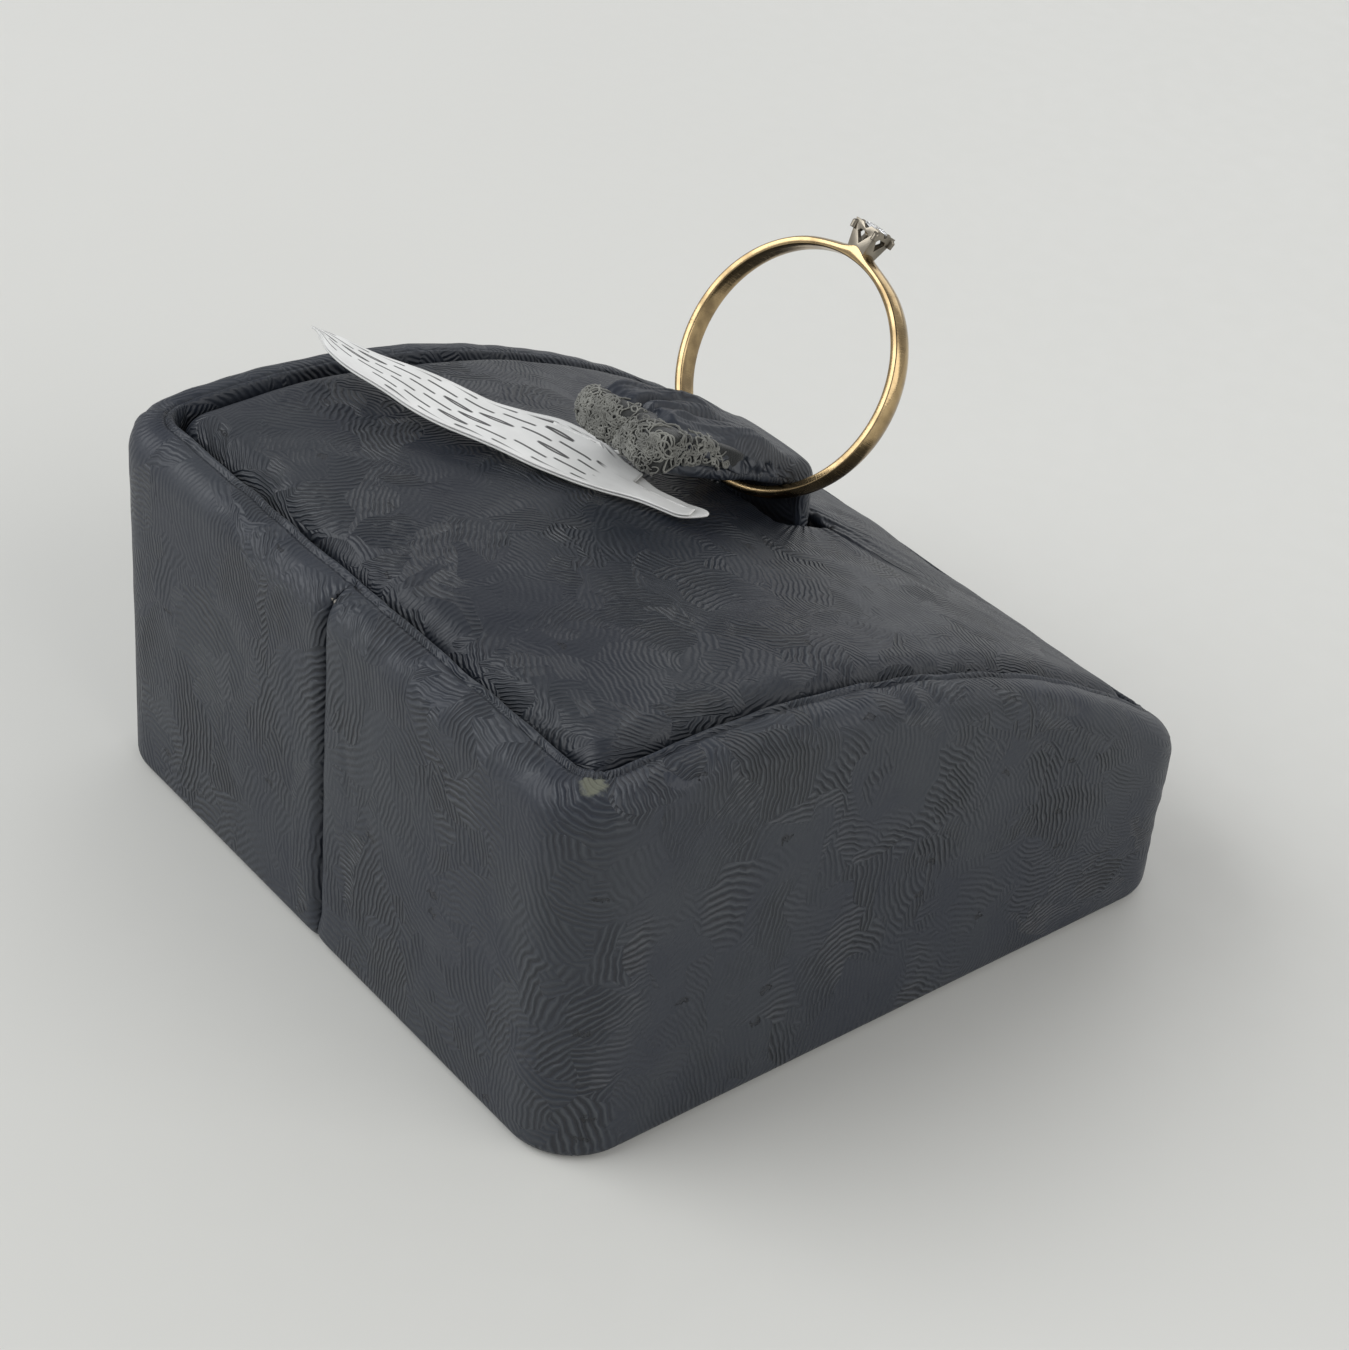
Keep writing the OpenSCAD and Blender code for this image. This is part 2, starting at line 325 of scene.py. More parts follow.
def outwards(grid: Array, closed_cols: bool = False) -> Array:
    """Unit normals of a grid of points, along rows crossed with columns.

    Args:
        grid: rows by columns by 3 points.
        closed_cols: whether each row is a loop.

    Returns:
        Rows by columns by 3 unit vectors.
    """
    along = np.gradient(grid, axis=0)
    if closed_cols:
        across = (np.roll(grid, -1, axis=1) - np.roll(grid, 1, axis=1)) / 2
    else:
        across = np.gradient(grid, axis=1)
    normal = np.cross(along, across)
    return normal / np.maximum(np.linalg.norm(normal, axis=2, keepdims=True), 1e-12)


def sweep(path: Array, side: Array, up: Array, section: Array) -> Array:
    """Points of a section carried along a path.

    Args:
        path: N by 3 places.
        side: N by 3 unit vectors for the section's first coordinate.
        up: N by 3 unit vectors for its second.
        section: N by M by 2 places in the section.

    Returns:
        N by M by 3 points.
    """
    return (path[:, None] + section[..., :1] * side[:, None] + section[..., 1:] * up[:, None])


def round_section(sides: int, radii: Array) -> Array:
    """Circles of points, one for each radius."""
    turn = np.arange(sides) / sides * 2 * math.pi
    return np.stack([np.cos(turn), np.sin(turn)], axis=1)[None] * radii[:, None, None]


def square(name: str, half: float) -> bpy.types.Object:
    """A flat square about the origin, half its width in millimetres."""
    corners = np.array(((-half, -half, 0), (half, -half, 0), (half, half, 0), (-half, half, 0)))
    return piece_from(name, corners, [(0, 1, 2, 3)])


# ---------------------------------------------------------------- shader graphs


class Graph:
    """Adds nodes to one node tree and links them."""

    def __init__(self, tree: bpy.types.NodeTree) -> None:
        """Keeps the tree that is worked on."""
        self.tree = tree

    def node(self, kind: str, sockets: dict[str | int, object] | None = None,
             **settings: object) -> bpy.types.Node:
        """Adds a node.

        Args:
            kind: the node's type name without its ShaderNode prefix.
            sockets: values or links for its inputs, by name or index.
            settings: the node's own properties.

        Returns:
            The new node.
        """
        made = self.tree.nodes.new(kind if kind.startswith("Node") else "ShaderNode" + kind)
        for name, value in settings.items():
            setattr(made, name, value)
        for key, value in (sockets or {}).items():
            self.put(made.inputs[key], value)
        return made

    def put(self, socket: Socket, value: object) -> None:
        """Links a socket, or sets its value."""
        if isinstance(value, Socket):
            self.tree.links.new(value, socket)
        elif value is not None:
            socket.default_value = value

    def math(self, operation: str, *values: object, clamp: bool = False) -> Socket:
        """Result of a Math node."""
        made = self.node("Math", dict(enumerate(values)), operation=operation, use_clamp=clamp)
        return made.outputs[0]

    def times(self, first: object, second: object) -> Socket:
        """The product of two values."""
        return self.math("MULTIPLY", first, second)

    def scaled(self, value: object, factor: object, plus: object) -> Socket:
        """A value times a factor, plus another."""
        return self.math("MULTIPLY_ADD", value, factor, plus)

    def offset(self, place: object, shift: object) -> Socket:
        """A vector moved by another."""
        return self.vector("ADD", place, shift)

    def jitter(self, place: Socket, scale: float, detail: float) -> Socket:
        """A noise vector about zero."""
        return self.vector("SUBTRACT", self.noise(place, scale, detail, coloured=True), (0.5, 0.5, 0.5))

    def cells(self, place: Socket, size: object) -> tuple[bpy.types.Node, Sequence[Socket]]:
        """Flat cells of a size, and the three chances that each cell draws."""
        made = self.node("TexVoronoi", {"Vector": place, "Scale": self.math("DIVIDE", 1.0, size)},
                         voronoi_dimensions="2D", feature="F1")
        return made, self.node("SeparateColor", {"Color": made.outputs["Color"]}).outputs

    def either(self, choice: Socket, first: Socket, second: Socket) -> Socket:
        """The first value where the choice is 0 and the second where it is 1."""
        rest = self.math("SUBTRACT", 1.0, choice)
        return self.math("ADD", self.times(first, rest), self.times(second, choice))

    def vector(self, operation: str, *values: object) -> Socket:
        """Result of a Vector Math node: a number for a length or distance, otherwise a vector."""
        made = self.node("VectorMath", operation=operation)
        for index, value in enumerate(values):
            self.put(made.inputs["Scale"] if operation == "SCALE" and index else made.inputs[index], value)
        return made.outputs["Value" if operation in ("LENGTH", "DISTANCE", "DOT_PRODUCT") else "Vector"]

    def ramp(self, value: Socket, low: float, high: float, to_low: float = 0.0,
             to_high: float = 1.0) -> Socket:
        """A value's smooth change from to_low to to_high as it passes from low to high."""
        made = self.node("MapRange", {"Value": value, "From Min": low, "From Max": high,
                                      "To Min": to_low, "To Max": to_high}, interpolation_type="SMOOTHSTEP")
        return made.outputs["Result"]

    def mix(self, share: object, first: object, second: object) -> Socket:
        """A colour between two others."""
        made = self.node("Mix", data_type="RGBA")
        for index, value in zip(MIX_COLOUR_INPUTS, (share, first, second)):
            self.put(made.inputs[index], value)
        return made.outputs[MIX_COLOUR_OUTPUT]

    def noise(self, place: Socket, scale: float, detail: float = 2.0, roughness: float = 0.5,
              coloured: bool = False) -> Socket:
        """A noise texture's value or colour."""
        made = self.node("TexNoise", {"Vector": place, "Scale": scale, "Detail": detail,
                                      "Roughness": roughness})
        return made.outputs["Color" if coloured else 0]


class GroupKit:
    """Shader node groups that several finishes share, each built once."""

    def __init__(self) -> None:
        """Starts with no group built."""
        self.made: dict[str, bpy.types.NodeTree] = {}

    def start(self, name: str, inputs: dict[str, object],
              outputs: Sequence[str]) -> tuple[Graph, dict, bpy.types.Node]:
        """Opens a new group.

        Args:
            name: the group's name.
            inputs: input names with their default values, where a tuple makes a vector.
            outputs: output names, all of them values.

        Returns:
            The group's graph, its input sockets by name, and its output node.
        """
        tree = bpy.data.node_groups.new(name, "ShaderNodeTree")
        for key, value in inputs.items():
            kind = "NodeSocketVector" if isinstance(value, tuple) else "NodeSocketFloat"
            socket = tree.interface.new_socket(key, in_out="INPUT", socket_type=kind)
            socket.default_value = value
        for key in outputs:
            tree.interface.new_socket(key, in_out="OUTPUT", socket_type="NodeSocketFloat")
        graph = Graph(tree)
        source = graph.node("NodeGroupInput")
        end = graph.node("NodeGroupOutput")
        self.made[name] = tree
        return graph, {s.name: s for s in source.outputs if s.name}, end

    def place(self, graph: Graph, name: str, sockets: dict[str, object]) -> bpy.types.Node:
        """Puts a group into a material.

        Args:
            graph: the material's graph.
            sockets: values or links for its inputs.

        Returns:
            The group node.
        """
        if name not in self.made:
            getattr(self, name)()
        made = graph.node("Group", node_tree=self.made[name])
        for key, value in sockets.items():
            graph.put(made.inputs[key], value)
        return made

    def swirl_relief(self) -> None:
        """Embossing of overlapping patches, each combed with concentric arcs about its own centre."""
        graph, given, end = self.start(
            "swirl_relief", {"Place": ORIGIN, "Pitch": 0.33, "Patch": 5.0, "Seed": 0.0}, ("Height", "Tone"))
        seed = graph.node("CombineXYZ", {"X": given["Seed"], "Y": graph.times(given["Seed"], 1.7)})
        place = graph.offset(given["Place"], seed.outputs[0])
        wobble = graph.vector("SCALE", graph.jitter(place, 0.22, 1.0), graph.times(given["Patch"], 1.5))
        bent = graph.offset(place, wobble)
        combed = graph.offset(place, graph.vector("SCALE", graph.jitter(place, 0.9, 1.0), 0.55))
        layers = []
        for share, shift in ((1.0, 0.0), (0.68, 37.0)):
            size = graph.times(given["Patch"], share)
            cells, chances = graph.cells(graph.offset(bent, (shift, shift, 0.0)), size)
            turn = graph.times(chances[0], 2 * math.pi)
            reach = graph.times(size, graph.scaled(chances[1], 1.0, 0.85))
            heading = graph.node("CombineXYZ", {"X": graph.math("COSINE", turn),
                                                "Y": graph.math("SINE", turn)})
            centre = graph.offset(cells.outputs["Position"], graph.vector("SCALE", heading.outputs[0], reach))
            away = graph.vector("DISTANCE", graph.offset(combed, (shift, shift, 0.0)), centre)
            pitch = graph.times(given["Pitch"], graph.scaled(chances[2], 0.4, 0.85))
            wave = graph.math("SINE", graph.times(graph.math("DIVIDE", away, pitch), 2 * math.pi))
            depth = graph.ramp(chances[0], 0.0, 1.0, 0.35, 1.0)
            fade = graph.ramp(cells.outputs["Distance"], 0.25, 0.8, 1.0, 0.45)
            layers.append((graph.times(wave, graph.times(depth, fade)), chances[2]))
        (near_wave, near_tone), (far_wave, far_tone) = layers
        choice = graph.ramp(graph.noise(graph.offset(bent, (11.0, 5.0, 0.0)), 0.17, 1.5), 0.49, 0.51)
        calm = graph.ramp(graph.noise(place, 0.12, 2.0), 0.36, 0.62, 0.3, 1.0)
        graph.put(end.inputs["Height"], graph.times(graph.either(choice, near_wave, far_wave), calm))
        graph.put(end.inputs["Tone"], graph.either(choice, near_tone, far_tone))

    def fine_grain(self) -> None:
        """Close uneven grain: a fine value and a broad value."""
        graph, given, end = self.start("fine_grain", {"Place": ORIGIN, "Fine": 8.0, "Broad": 0.3},
                                       ("Grain", "Cloud"))
        for output, scale in (("Grain", "Fine"), ("Cloud", "Broad")):
            made = graph.node("TexNoise", {"Vector": given["Place"], "Scale": given[scale], "Detail": 3.0})
            graph.put(end.inputs[output], made.outputs[0])

    def nicks(self) -> None:
        """Sparse short nicks and scuffs, as a mask."""
        graph, given, end = self.start("nicks", {"Place": ORIGIN, "Spacing": 6.0, "Length": 0.5}, ("Mask",))
        bend = graph.jitter(given["Place"], 2.6, 3.0)
        rough = graph.offset(given["Place"], graph.vector("SCALE", bend, 1.1))
        cells, chances = graph.cells(graph.vector("MULTIPLY", rough, (1.0, 2.6, 1.0)), given["Spacing"])
        away = graph.times(cells.outputs["Distance"], given["Spacing"])
        rare = graph.math("GREATER_THAN", chances[0], 0.86)
        near = graph.math("SUBTRACT", 1.0, graph.math("DIVIDE", away, given["Length"]), clamp=True)
        graph.put(end.inputs["Mask"], graph.times(graph.ramp(near, 0.05, 0.4), rare))

    def worn_spot(self) -> None:
        """A rubbed place about a point, with a broken edge, as a mask."""
        graph, given, end = self.start("worn_spot", {"Place": ORIGIN, "Centre": ORIGIN, "Reach": 1.0},
                                       ("Mask",))
        away = graph.math("DIVIDE", graph.vector("DISTANCE", given["Place"], given["Centre"]), given["Reach"])
        broken = graph.scaled(graph.noise(given["Place"], 1.6, 4.0, 0.7), 1.3, -0.65)
        graph.put(end.inputs["Mask"], graph.ramp(graph.math("ADD", away, broken), 0.55, 1.0, 1.0, 0.0))

    def drawn_lines(self) -> None:
        """Long fine polishing lines, as a height and as a mask of the stronger ones."""
        graph, given, end = self.start("drawn_lines", {"Place": ORIGIN, "Across": 14.0, "Along": 0.6},
                                       ("Height", "Mask"))
        parts = graph.node("SeparateXYZ", {"Vector": given["Place"]})
        long = graph.node("CombineXYZ", {"X": graph.times(parts.outputs[0], given["Along"]),
                                         "Y": graph.times(parts.outputs[1], given["Across"]),
                                         "Z": parts.outputs[2]})
        value = graph.noise(long.outputs[0], 1.0, 4.0, 0.6)
        graph.put(end.inputs["Height"], value)
        graph.put(end.inputs["Mask"], graph.ramp(value, 0.55, 0.7))


GROUPS = GroupKit()
Colour = tuple[float, float, float, float]


def rgb(red: float, green: float, blue: float) -> Colour:
    """A linear colour with full alpha."""
    return (red, green, blue, 1.0)


class Finish:
    """Base of the finishes: opens a material and gives its usual sockets."""

    name = "finish"

    def material(self) -> bpy.types.Material:
        """The finish's material, built on first use."""
        title = f"finish_{self.name}"
        made = bpy.data.materials.get(title)
        if made is None:
            made = bpy.data.materials.new(title)
            made.use_nodes = True
            made.node_tree.nodes.clear()
            graph = Graph(made.node_tree)
            shader = graph.node("BsdfPrincipled")
            out = graph.node("OutputMaterial")
            graph.put(out.inputs["Surface"], shader.outputs[0])
            self.fill(graph, shader)
        return made

    def fill(self, graph: Graph, shader: bpy.types.Node) -> None:
        """Feeds the shader. Each finish has its own."""
        raise NotImplementedError

    def flat_place(self, graph: Graph) -> Socket:
        """Place on the flat material, in millimetres."""
        return graph.node("UVMap", uv_map="Flat").outputs[0]

    def solid_place(self, graph: Graph) -> Socket:
        """Place in the object's own space, in millimetres."""
        return graph.vector("SCALE", graph.node("TexCoord").outputs["Object"], 1 / MM)

    def dent(self, graph: Graph, shader: bpy.types.Node, height: Socket, depth: float) -> None:
        """Feeds a height in millimetres of depth to the shader's normal."""
        made = graph.node("Bump", {"Height": height, "Distance": depth * MM, "Strength": 1.0})
        graph.put(shader.inputs["Normal"], made.outputs[0])


@dataclass(frozen=True)
class Leatherette(Finish):
    """Dark embossed leatherette with a satin gloss, and rubbed places; painted highlight on the embossing's
    ridges and painted shade in its grooves.
    """

    name: str = "leatherette_sides"
    colour: Colour = rgb(0.0140, 0.0185, 0.0295)
    pale: Colour = rgb(0.0220, 0.0270, 0.0360)
    pitch: float = 0.37
    patch: float = 6.4
    seed: float = 3.0
    depth: float = 0.17
    gloss: float = 0.42
    # painted highlight on the embossing's ridges and painted shade in its grooves
    ridge_highlight_tone: Colour = rgb(0.056, 0.063, 0.070)
    groove_shade_tone: Colour = rgb(0.004, 0.005, 0.009)
    nick_tone: Colour = rgb(0.006, 0.007, 0.010)
    worn_tone: Colour = rgb(0.16, 0.165, 0.12)
    worn_reach: float = 0.95
    worn: tuple[float, float, float] | None = None

    def fill(self, graph: Graph, shader: bpy.types.Node) -> None:
        """Feeds colour, gloss and embossing."""
        flat, solid = self.flat_place(graph), self.solid_place(graph)
        swirl = GROUPS.place(graph, "swirl_relief", {"Place": flat, "Pitch": self.pitch, "Patch": self.patch,
                                                     "Seed": self.seed})
        grain = GROUPS.place(graph, "fine_grain", {"Place": solid, "Fine": 5.0, "Broad": 0.12})
        nick = GROUPS.place(graph, "nicks", {"Place": flat, "Spacing": 6.5, "Length": 0.5})
        cloud = graph.ramp(grain.outputs["Cloud"], 0.35, 0.65)
        colour = graph.mix(cloud, self.colour, self.pale)
        # Painted highlight and painted shade: the colour is lightened on the embossing's ridges and darkened
        # in its grooves.
        ridge = graph.ramp(swirl.outputs["Height"], 0.0, 0.8)
        groove = graph.ramp(swirl.outputs["Height"], 0.0, -0.8)
        colour = graph.mix(graph.times(ridge, 0.6), colour, self.ridge_highlight_tone)
        colour = graph.mix(graph.times(groove, 0.7), colour, self.groove_shade_tone)
        colour = graph.mix(graph.times(nick.outputs["Mask"], 0.5), colour, self.nick_tone)
        gloss = graph.scaled(grain.outputs["Grain"], 0.16, self.gloss - 0.08)
        gloss = graph.scaled(swirl.outputs["Tone"], 0.10, gloss)
        if self.worn is not None:
            spot = GROUPS.place(graph, "worn_spot", {"Place": solid, "Centre": self.worn,
                                                     "Reach": self.worn_reach})
            colour = graph.mix(graph.times(spot.outputs["Mask"], 0.8), colour, self.worn_tone)
            gloss = graph.scaled(spot.outputs["Mask"], 0.3, gloss)
        graph.put(shader.inputs["Base Color"], colour)
        graph.put(shader.inputs["Roughness"], gloss)
        height = graph.scaled(swirl.outputs["Height"], 0.5, graph.times(grain.outputs["Grain"], 0.12))
        height = graph.math("SUBTRACT", height, graph.times(nick.outputs["Mask"], 1.5))
        self.dent(graph, shader, height, self.depth)


@dataclass(frozen=True)
class Knit(Finish):
    """Knitted yarn, or the near-black ground under it, whose darkness is painted shade between the loops."""

    name: str = "knit_yarn"
    colour: Colour = rgb(0.25, 0.25, 0.225)
    dark: Colour = rgb(0.13, 0.13, 0.118)

    def fill(self, graph: Graph, shader: bpy.types.Node) -> None:
        """Feeds colour, fibre and softness."""
        solid = self.solid_place(graph)
        grain = GROUPS.place(graph, "fine_grain", {"Place": solid, "Fine": 9.0, "Broad": 0.5})
        graph.put(shader.inputs["Base Color"], graph.mix(
            graph.ramp(grain.outputs["Cloud"], 0.3, 0.7), self.dark, self.colour))
        graph.put(shader.inputs["Roughness"], graph.ramp(grain.outputs["Grain"], 0.3, 0.7, 0.75, 0.95))
        shader.inputs["Sheen Weight"].default_value = 0.25
        shader.inputs["Specular IOR Level"].default_value = 0.25
        self.dent(graph, shader, grain.outputs["Grain"], 0.05)


@dataclass(frozen=True)
class PreciousMetal(Finish):
    """Polished precious metal with fine wear lines."""

    name: str = "yellow_gold"
    colour: Colour = rgb(0.48, 0.35, 0.185)
    tarnish: Colour = rgb(0.18, 0.125, 0.065)
    gloss: float = 0.16

    def fill(self, graph: Graph, shader: bpy.types.Node) -> None:
        """Feeds colour, gloss and lines."""
        flat, solid = self.flat_place(graph), self.solid_place(graph)
        lines = GROUPS.place(graph, "drawn_lines", {"Place": flat, "Across": 9.0, "Along": 0.5})
        grain = GROUPS.place(graph, "fine_grain", {"Place": solid, "Fine": 3.0, "Broad": 0.55})
        cloud = graph.ramp(grain.outputs["Cloud"], 0.35, 0.70)
        graph.put(shader.inputs["Base Color"], graph.mix(
            graph.times(cloud, 0.7), self.colour, self.tarnish))
        shader.inputs["Metallic"].default_value = 1.0
        gloss = graph.scaled(lines.outputs["Mask"], 0.12, self.gloss)
        graph.put(shader.inputs["Roughness"], graph.scaled(cloud, 0.08, gloss))
        self.dent(graph, shader, lines.outputs["Height"], 0.006)


@dataclass(frozen=True)
class Gem(Finish):
    """Clear cut stone with a faint dusting."""

    name: str = "brilliant"
    tint: Colour = rgb(0.93, 0.96, 1.0)

    def fill(self, graph: Graph, shader: bpy.types.Node) -> None:
        """Feeds a clear glass with slightly uneven polish."""
        solid = self.solid_place(graph)
        grain = GROUPS.place(graph, "fine_grain", {"Place": solid, "Fine": 2.0, "Broad": 0.8})
        graph.put(shader.inputs["Base Color"], graph.mix(grain.outputs["Cloud"], self.tint, rgb(1, 1, 1)))
        graph.put(shader.inputs["Roughness"], graph.ramp(grain.outputs["Grain"], 0.4, 0.7, 0.0, 0.05))
        shader.inputs["IOR"].default_value = 2.4
        shader.inputs["Transmission Weight"].default_value = 0.9


@dataclass(frozen=True)
class TagPaper(Finish):
    """Glazed label paper, plain or printed with generic rows of dashes."""

    name: str = "tag_paper_plain"
    colour: Colour = rgb(0.82, 0.82, 0.80)
    printed: bool = False
    shade: Colour = rgb(0.74, 0.74, 0.72)
    ink: Colour = rgb(0.045, 0.045, 0.045)
    row_pitch: float = 1.1
    dash_pitch: float = 2.9
    row_shift: float = 0.61
    slope: float = 0.38
    margin: tuple[float, float] = (2.6, 2.9)
    first_dash: tuple[float, float] = (6.3, 7.3)

    def fill(self, graph: Graph, shader: bpy.types.Node) -> None:
        """Feeds colour, print and the faint unevenness of the paper."""
        flat = self.flat_place(graph)
        grain = GROUPS.place(graph, "fine_grain", {"Place": flat, "Fine": 6.0, "Broad": 0.4})
        colour = graph.mix(graph.ramp(grain.outputs["Cloud"], 0.3, 0.7), self.colour, self.shade)
        if self.printed:
            colour = graph.mix(self.dashes(graph, flat), colour, self.ink)
        graph.put(shader.inputs["Base Color"], colour)
        graph.put(shader.inputs["Roughness"], graph.ramp(grain.outputs["Grain"], 0.3, 0.7, 0.38, 0.5))
        self.dent(graph, shader, grain.outputs["Cloud"], 0.05)

    def dashes(self, graph: Graph, flat: Socket) -> Socket:
        """Rows of slanted dashes of uneven length, some of them hollow.

        Args:
            graph: the material's graph.
            flat: place on the leaf in millimetres, along it and across it.

        Returns:
            The print's mask.
        """
        parts = graph.node("SeparateXYZ", {"Vector": flat})
        along, across = parts.outputs[0], parts.outputs[1]
        row_at = graph.math("DIVIDE", across, self.row_pitch)
        row = graph.math("FLOOR", row_at)
        shifted = graph.math("ADD", graph.math("DIVIDE", along, self.dash_pitch),
                             graph.times(row, self.row_shift))
        seed = graph.node("CombineXYZ", {"X": graph.math("FLOOR", shifted), "Y": row})
        luck = graph.node("TexWhiteNoise", {"Vector": seed.outputs[0]}, noise_dimensions="2D")
        chances = graph.node("SeparateColor", {"Color": luck.outputs["Color"]}).outputs
        u = graph.math("SUBTRACT", graph.math("FRACT", shifted), 0.5)
        v = graph.math("SUBTRACT", graph.math("FRACT", row_at), 0.5)
        from_middle = graph.math("ABSOLUTE", u)
        half = graph.scaled(chances[0], 0.08, 0.42)
        length = graph.ramp(graph.math("DIVIDE", from_middle, half), 0.85, 1.0, 1.0, 0.0)
        swell = graph.times(graph.math("GREATER_THAN", chances[1], 0.62), 0.12)
        fall = graph.math("POWER", graph.times(from_middle, 2.2), 2.0)
        middle = graph.times(swell, graph.math("SUBTRACT", 1.0, fall, clamp=True))
        off_line = graph.math("ABSOLUTE", graph.scaled(u, self.slope, v))
        stroke = graph.math("ABSOLUTE", graph.math("SUBTRACT", off_line, middle))
        mask = graph.times(graph.ramp(stroke, 0.065, 0.12, 1.0, 0.0), length)
        there = graph.math("GREATER_THAN", chances[2], 0.08)
        inside = graph.ramp(graph.math("ABSOLUTE", across), *self.margin, 1.0, 0.0)
        placed = graph.times(graph.times(there, inside), graph.ramp(along, *self.first_dash))
        return graph.times(mask, placed)


@dataclass(frozen=True)
class Board(Finish):
    """Matt fibrous material: card, fibreboard, foam or flock."""

    name: str = "greyboard"
    light: Colour = rgb(0.42, 0.39, 0.34)
    dark: Colour = rgb(0.26, 0.24, 0.21)
    fine: float = 4.0
    depth: float = 0.05
    sheen: float = 0.0

    def fill(self, graph: Graph, shader: bpy.types.Node) -> None:
        """Feeds fibre colour and a matt rough surface."""
        solid = self.solid_place(graph)
        grain = GROUPS.place(graph, "fine_grain", {"Place": solid, "Fine": self.fine, "Broad": 0.4})
        graph.put(shader.inputs["Base Color"], graph.mix(
            graph.ramp(grain.outputs["Grain"], 0.35, 0.65), self.dark, self.light))
        graph.put(shader.inputs["Roughness"], graph.ramp(grain.outputs["Cloud"], 0.3, 0.7, 0.8, 0.95))
        shader.inputs["Sheen Weight"].default_value = self.sheen
        self.dent(graph, shader, grain.outputs["Grain"], self.depth)


@dataclass(frozen=True)
class SpringSteel(Finish):
    """Thin rolled strip with drawn lines."""

    name: str = "spring_strip"

    def fill(self, graph: Graph, shader: bpy.types.Node) -> None:
        """Feeds a grey drawn metal."""
        solid = self.solid_place(graph)
        lines = GROUPS.place(graph, "drawn_lines", {"Place": solid, "Across": 6.0, "Along": 6.0})
        graph.put(shader.inputs["Base Color"], graph.mix(
            lines.outputs["Mask"], rgb(0.42, 0.42, 0.44), rgb(0.30, 0.30, 0.31)))
        shader.inputs["Metallic"].default_value = 1.0
        graph.put(shader.inputs["Roughness"], graph.ramp(lines.outputs["Height"], 0.3, 0.7, 0.28, 0.45))
        self.dent(graph, shader, lines.outputs["Height"], 0.01)


def dress(piece: bpy.types.Object, finish: Finish) -> None:
    """Gives a piece its finish.

    Args:
        piece: the piece.
        finish: what it is finished with.
    """
    piece.data.materials.clear()
    piece.data.materials.append(finish.material())
    LOG.info("%s: %d faces, %s", piece.name, len(piece.data.polygons), finish.name)


def settle_in(piece: bpy.types.Object, finish: Finish, body: Body, node: str) -> None:
    """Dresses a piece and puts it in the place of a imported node.

    Args:
        piece: the piece.
        finish: what it is finished with.
        body: the body it rides on.
        node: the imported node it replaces.
    """
    dress(piece, finish)
    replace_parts(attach(piece, body.value), node)


# ---------------------------------------------------------------- block


@dataclass
class ArchedPlan:
    """The block's rounded plan and arched top, which every layer is offset from."""

    corner_radius: float = 4.7
    arch_radius: float = 68.0
    crown_back: float = 16.8
    pad_rise: float = 0.3
    spacing: float = 0.55
    low: Array = field(init=False)
    high: Array = field(init=False)

    def __post_init__(self) -> None:
        """Reads the block's box."""
        self.low, self.high = node_box("side_cover")

    @property
    def half(self) -> Array:
        """Half of the width and of the depth."""
        return (self.high[:2] - self.low[:2]) / 2

    def arch(self, y: Array, rise: float | Array = 0.0) -> Array:
        """Height of the arched top at a place front to back."""
        reach = (self.arch_radius + rise) ** 2 - (np.asarray(y) - self.crown_back) ** 2
        return self.high[2] - self.arch_radius + np.sqrt(reach)

    def pad(self, y: Array) -> Array:
        """Height of the deck pad's surface."""
        return self.arch(y, self.pad_rise)

    def walk(self, gap: float, fine: float) -> tuple[Array, Array]:
        """Outline of the plan from one side of the back seam round to the other.

        Args:
            gap: how far from the seam's line it starts and ends.
            fine: length beside the seam that takes closer points.

        Returns:
            Points on the outline and the outward directions there.
        """
        hw, hd = self.half
        r = self.corner_radius
        near = gap + (fine - gap) * np.linspace(0, 1, 22) ** 1.7
        back = np.concatenate([near[:-1], np.arange(fine, hw - r, self.spacing)])
        points = [np.stack([back, np.full_like(back, hd)], axis=1)]
        normals = [np.tile((0.0, 1.0), (len(back), 1))]
        corners = ((hw - r, hd - r), (hw - r, r - hd), (r - hw, r - hd), (r - hw, hd - r))
        for index, centre in enumerate(corners):
            turn = np.radians(90 - 90 * index - np.linspace(0, 90, 19))
            out = np.stack([np.cos(turn), np.sin(turn)], axis=1)
            points.append(np.array(centre) + r * out)
            normals.append(out)
            if index < 3:
                length = 2 * (hd - r) if index % 2 == 0 else 2 * (hw - r)
                steps = np.arange(self.spacing, length, self.spacing)
                along = np.array((out[-1][1], -out[-1][0]))
                points.append(points[-1][-1] + steps[:, None] * along)
                normals.append(np.tile(out[-1], (len(steps), 1)))
        points.append(points[0][::-1] * (-1, 1))
        normals.append(normals[0][::-1])
        return np.concatenate(points), np.concatenate(normals)


def rounded_loop(centre: tuple[float, float], half: tuple[float, float], radius: float, side: int,
                 corner: int) -> tuple[Array, Array]:
    """A rounded rectangle with a fixed count of points on each side and corner.

    Args:
        centre: its middle.
        half: half of its width and depth.
        radius: radius of its corners.
        side: points on each side.
        corner: points on each corner.

    Returns:
        The loop's points and outward directions.
    """
    points, normals = [], []
    inner = (half[0] - radius, half[1] - radius)
    signs = ((1, 1), (-1, 1), (-1, -1), (1, -1))
    for index, (sx, sy) in enumerate(signs):
        turn = np.radians(90 * index + np.linspace(0, 90, corner))
        out = np.stack([np.cos(turn), np.sin(turn)], axis=1)
        middle = np.array((centre[0] + sx * inner[0], centre[1] + sy * inner[1]))
        points.append(middle + radius * out)
        normals.append(out)
        tx, ty = signs[(index + 1) % 4]
        following = np.array((centre[0] + tx * inner[0], centre[1] + ty * inner[1])) + radius * out[-1]
        share = np.linspace(0, 1, side + 2)[1:-1, None]
        points.append(points[-1][-1] * (1 - share) + following * share)
        normals.append(np.tile(out[-1], (side, 1)))
    return np.concatenate(points), np.concatenate(normals)


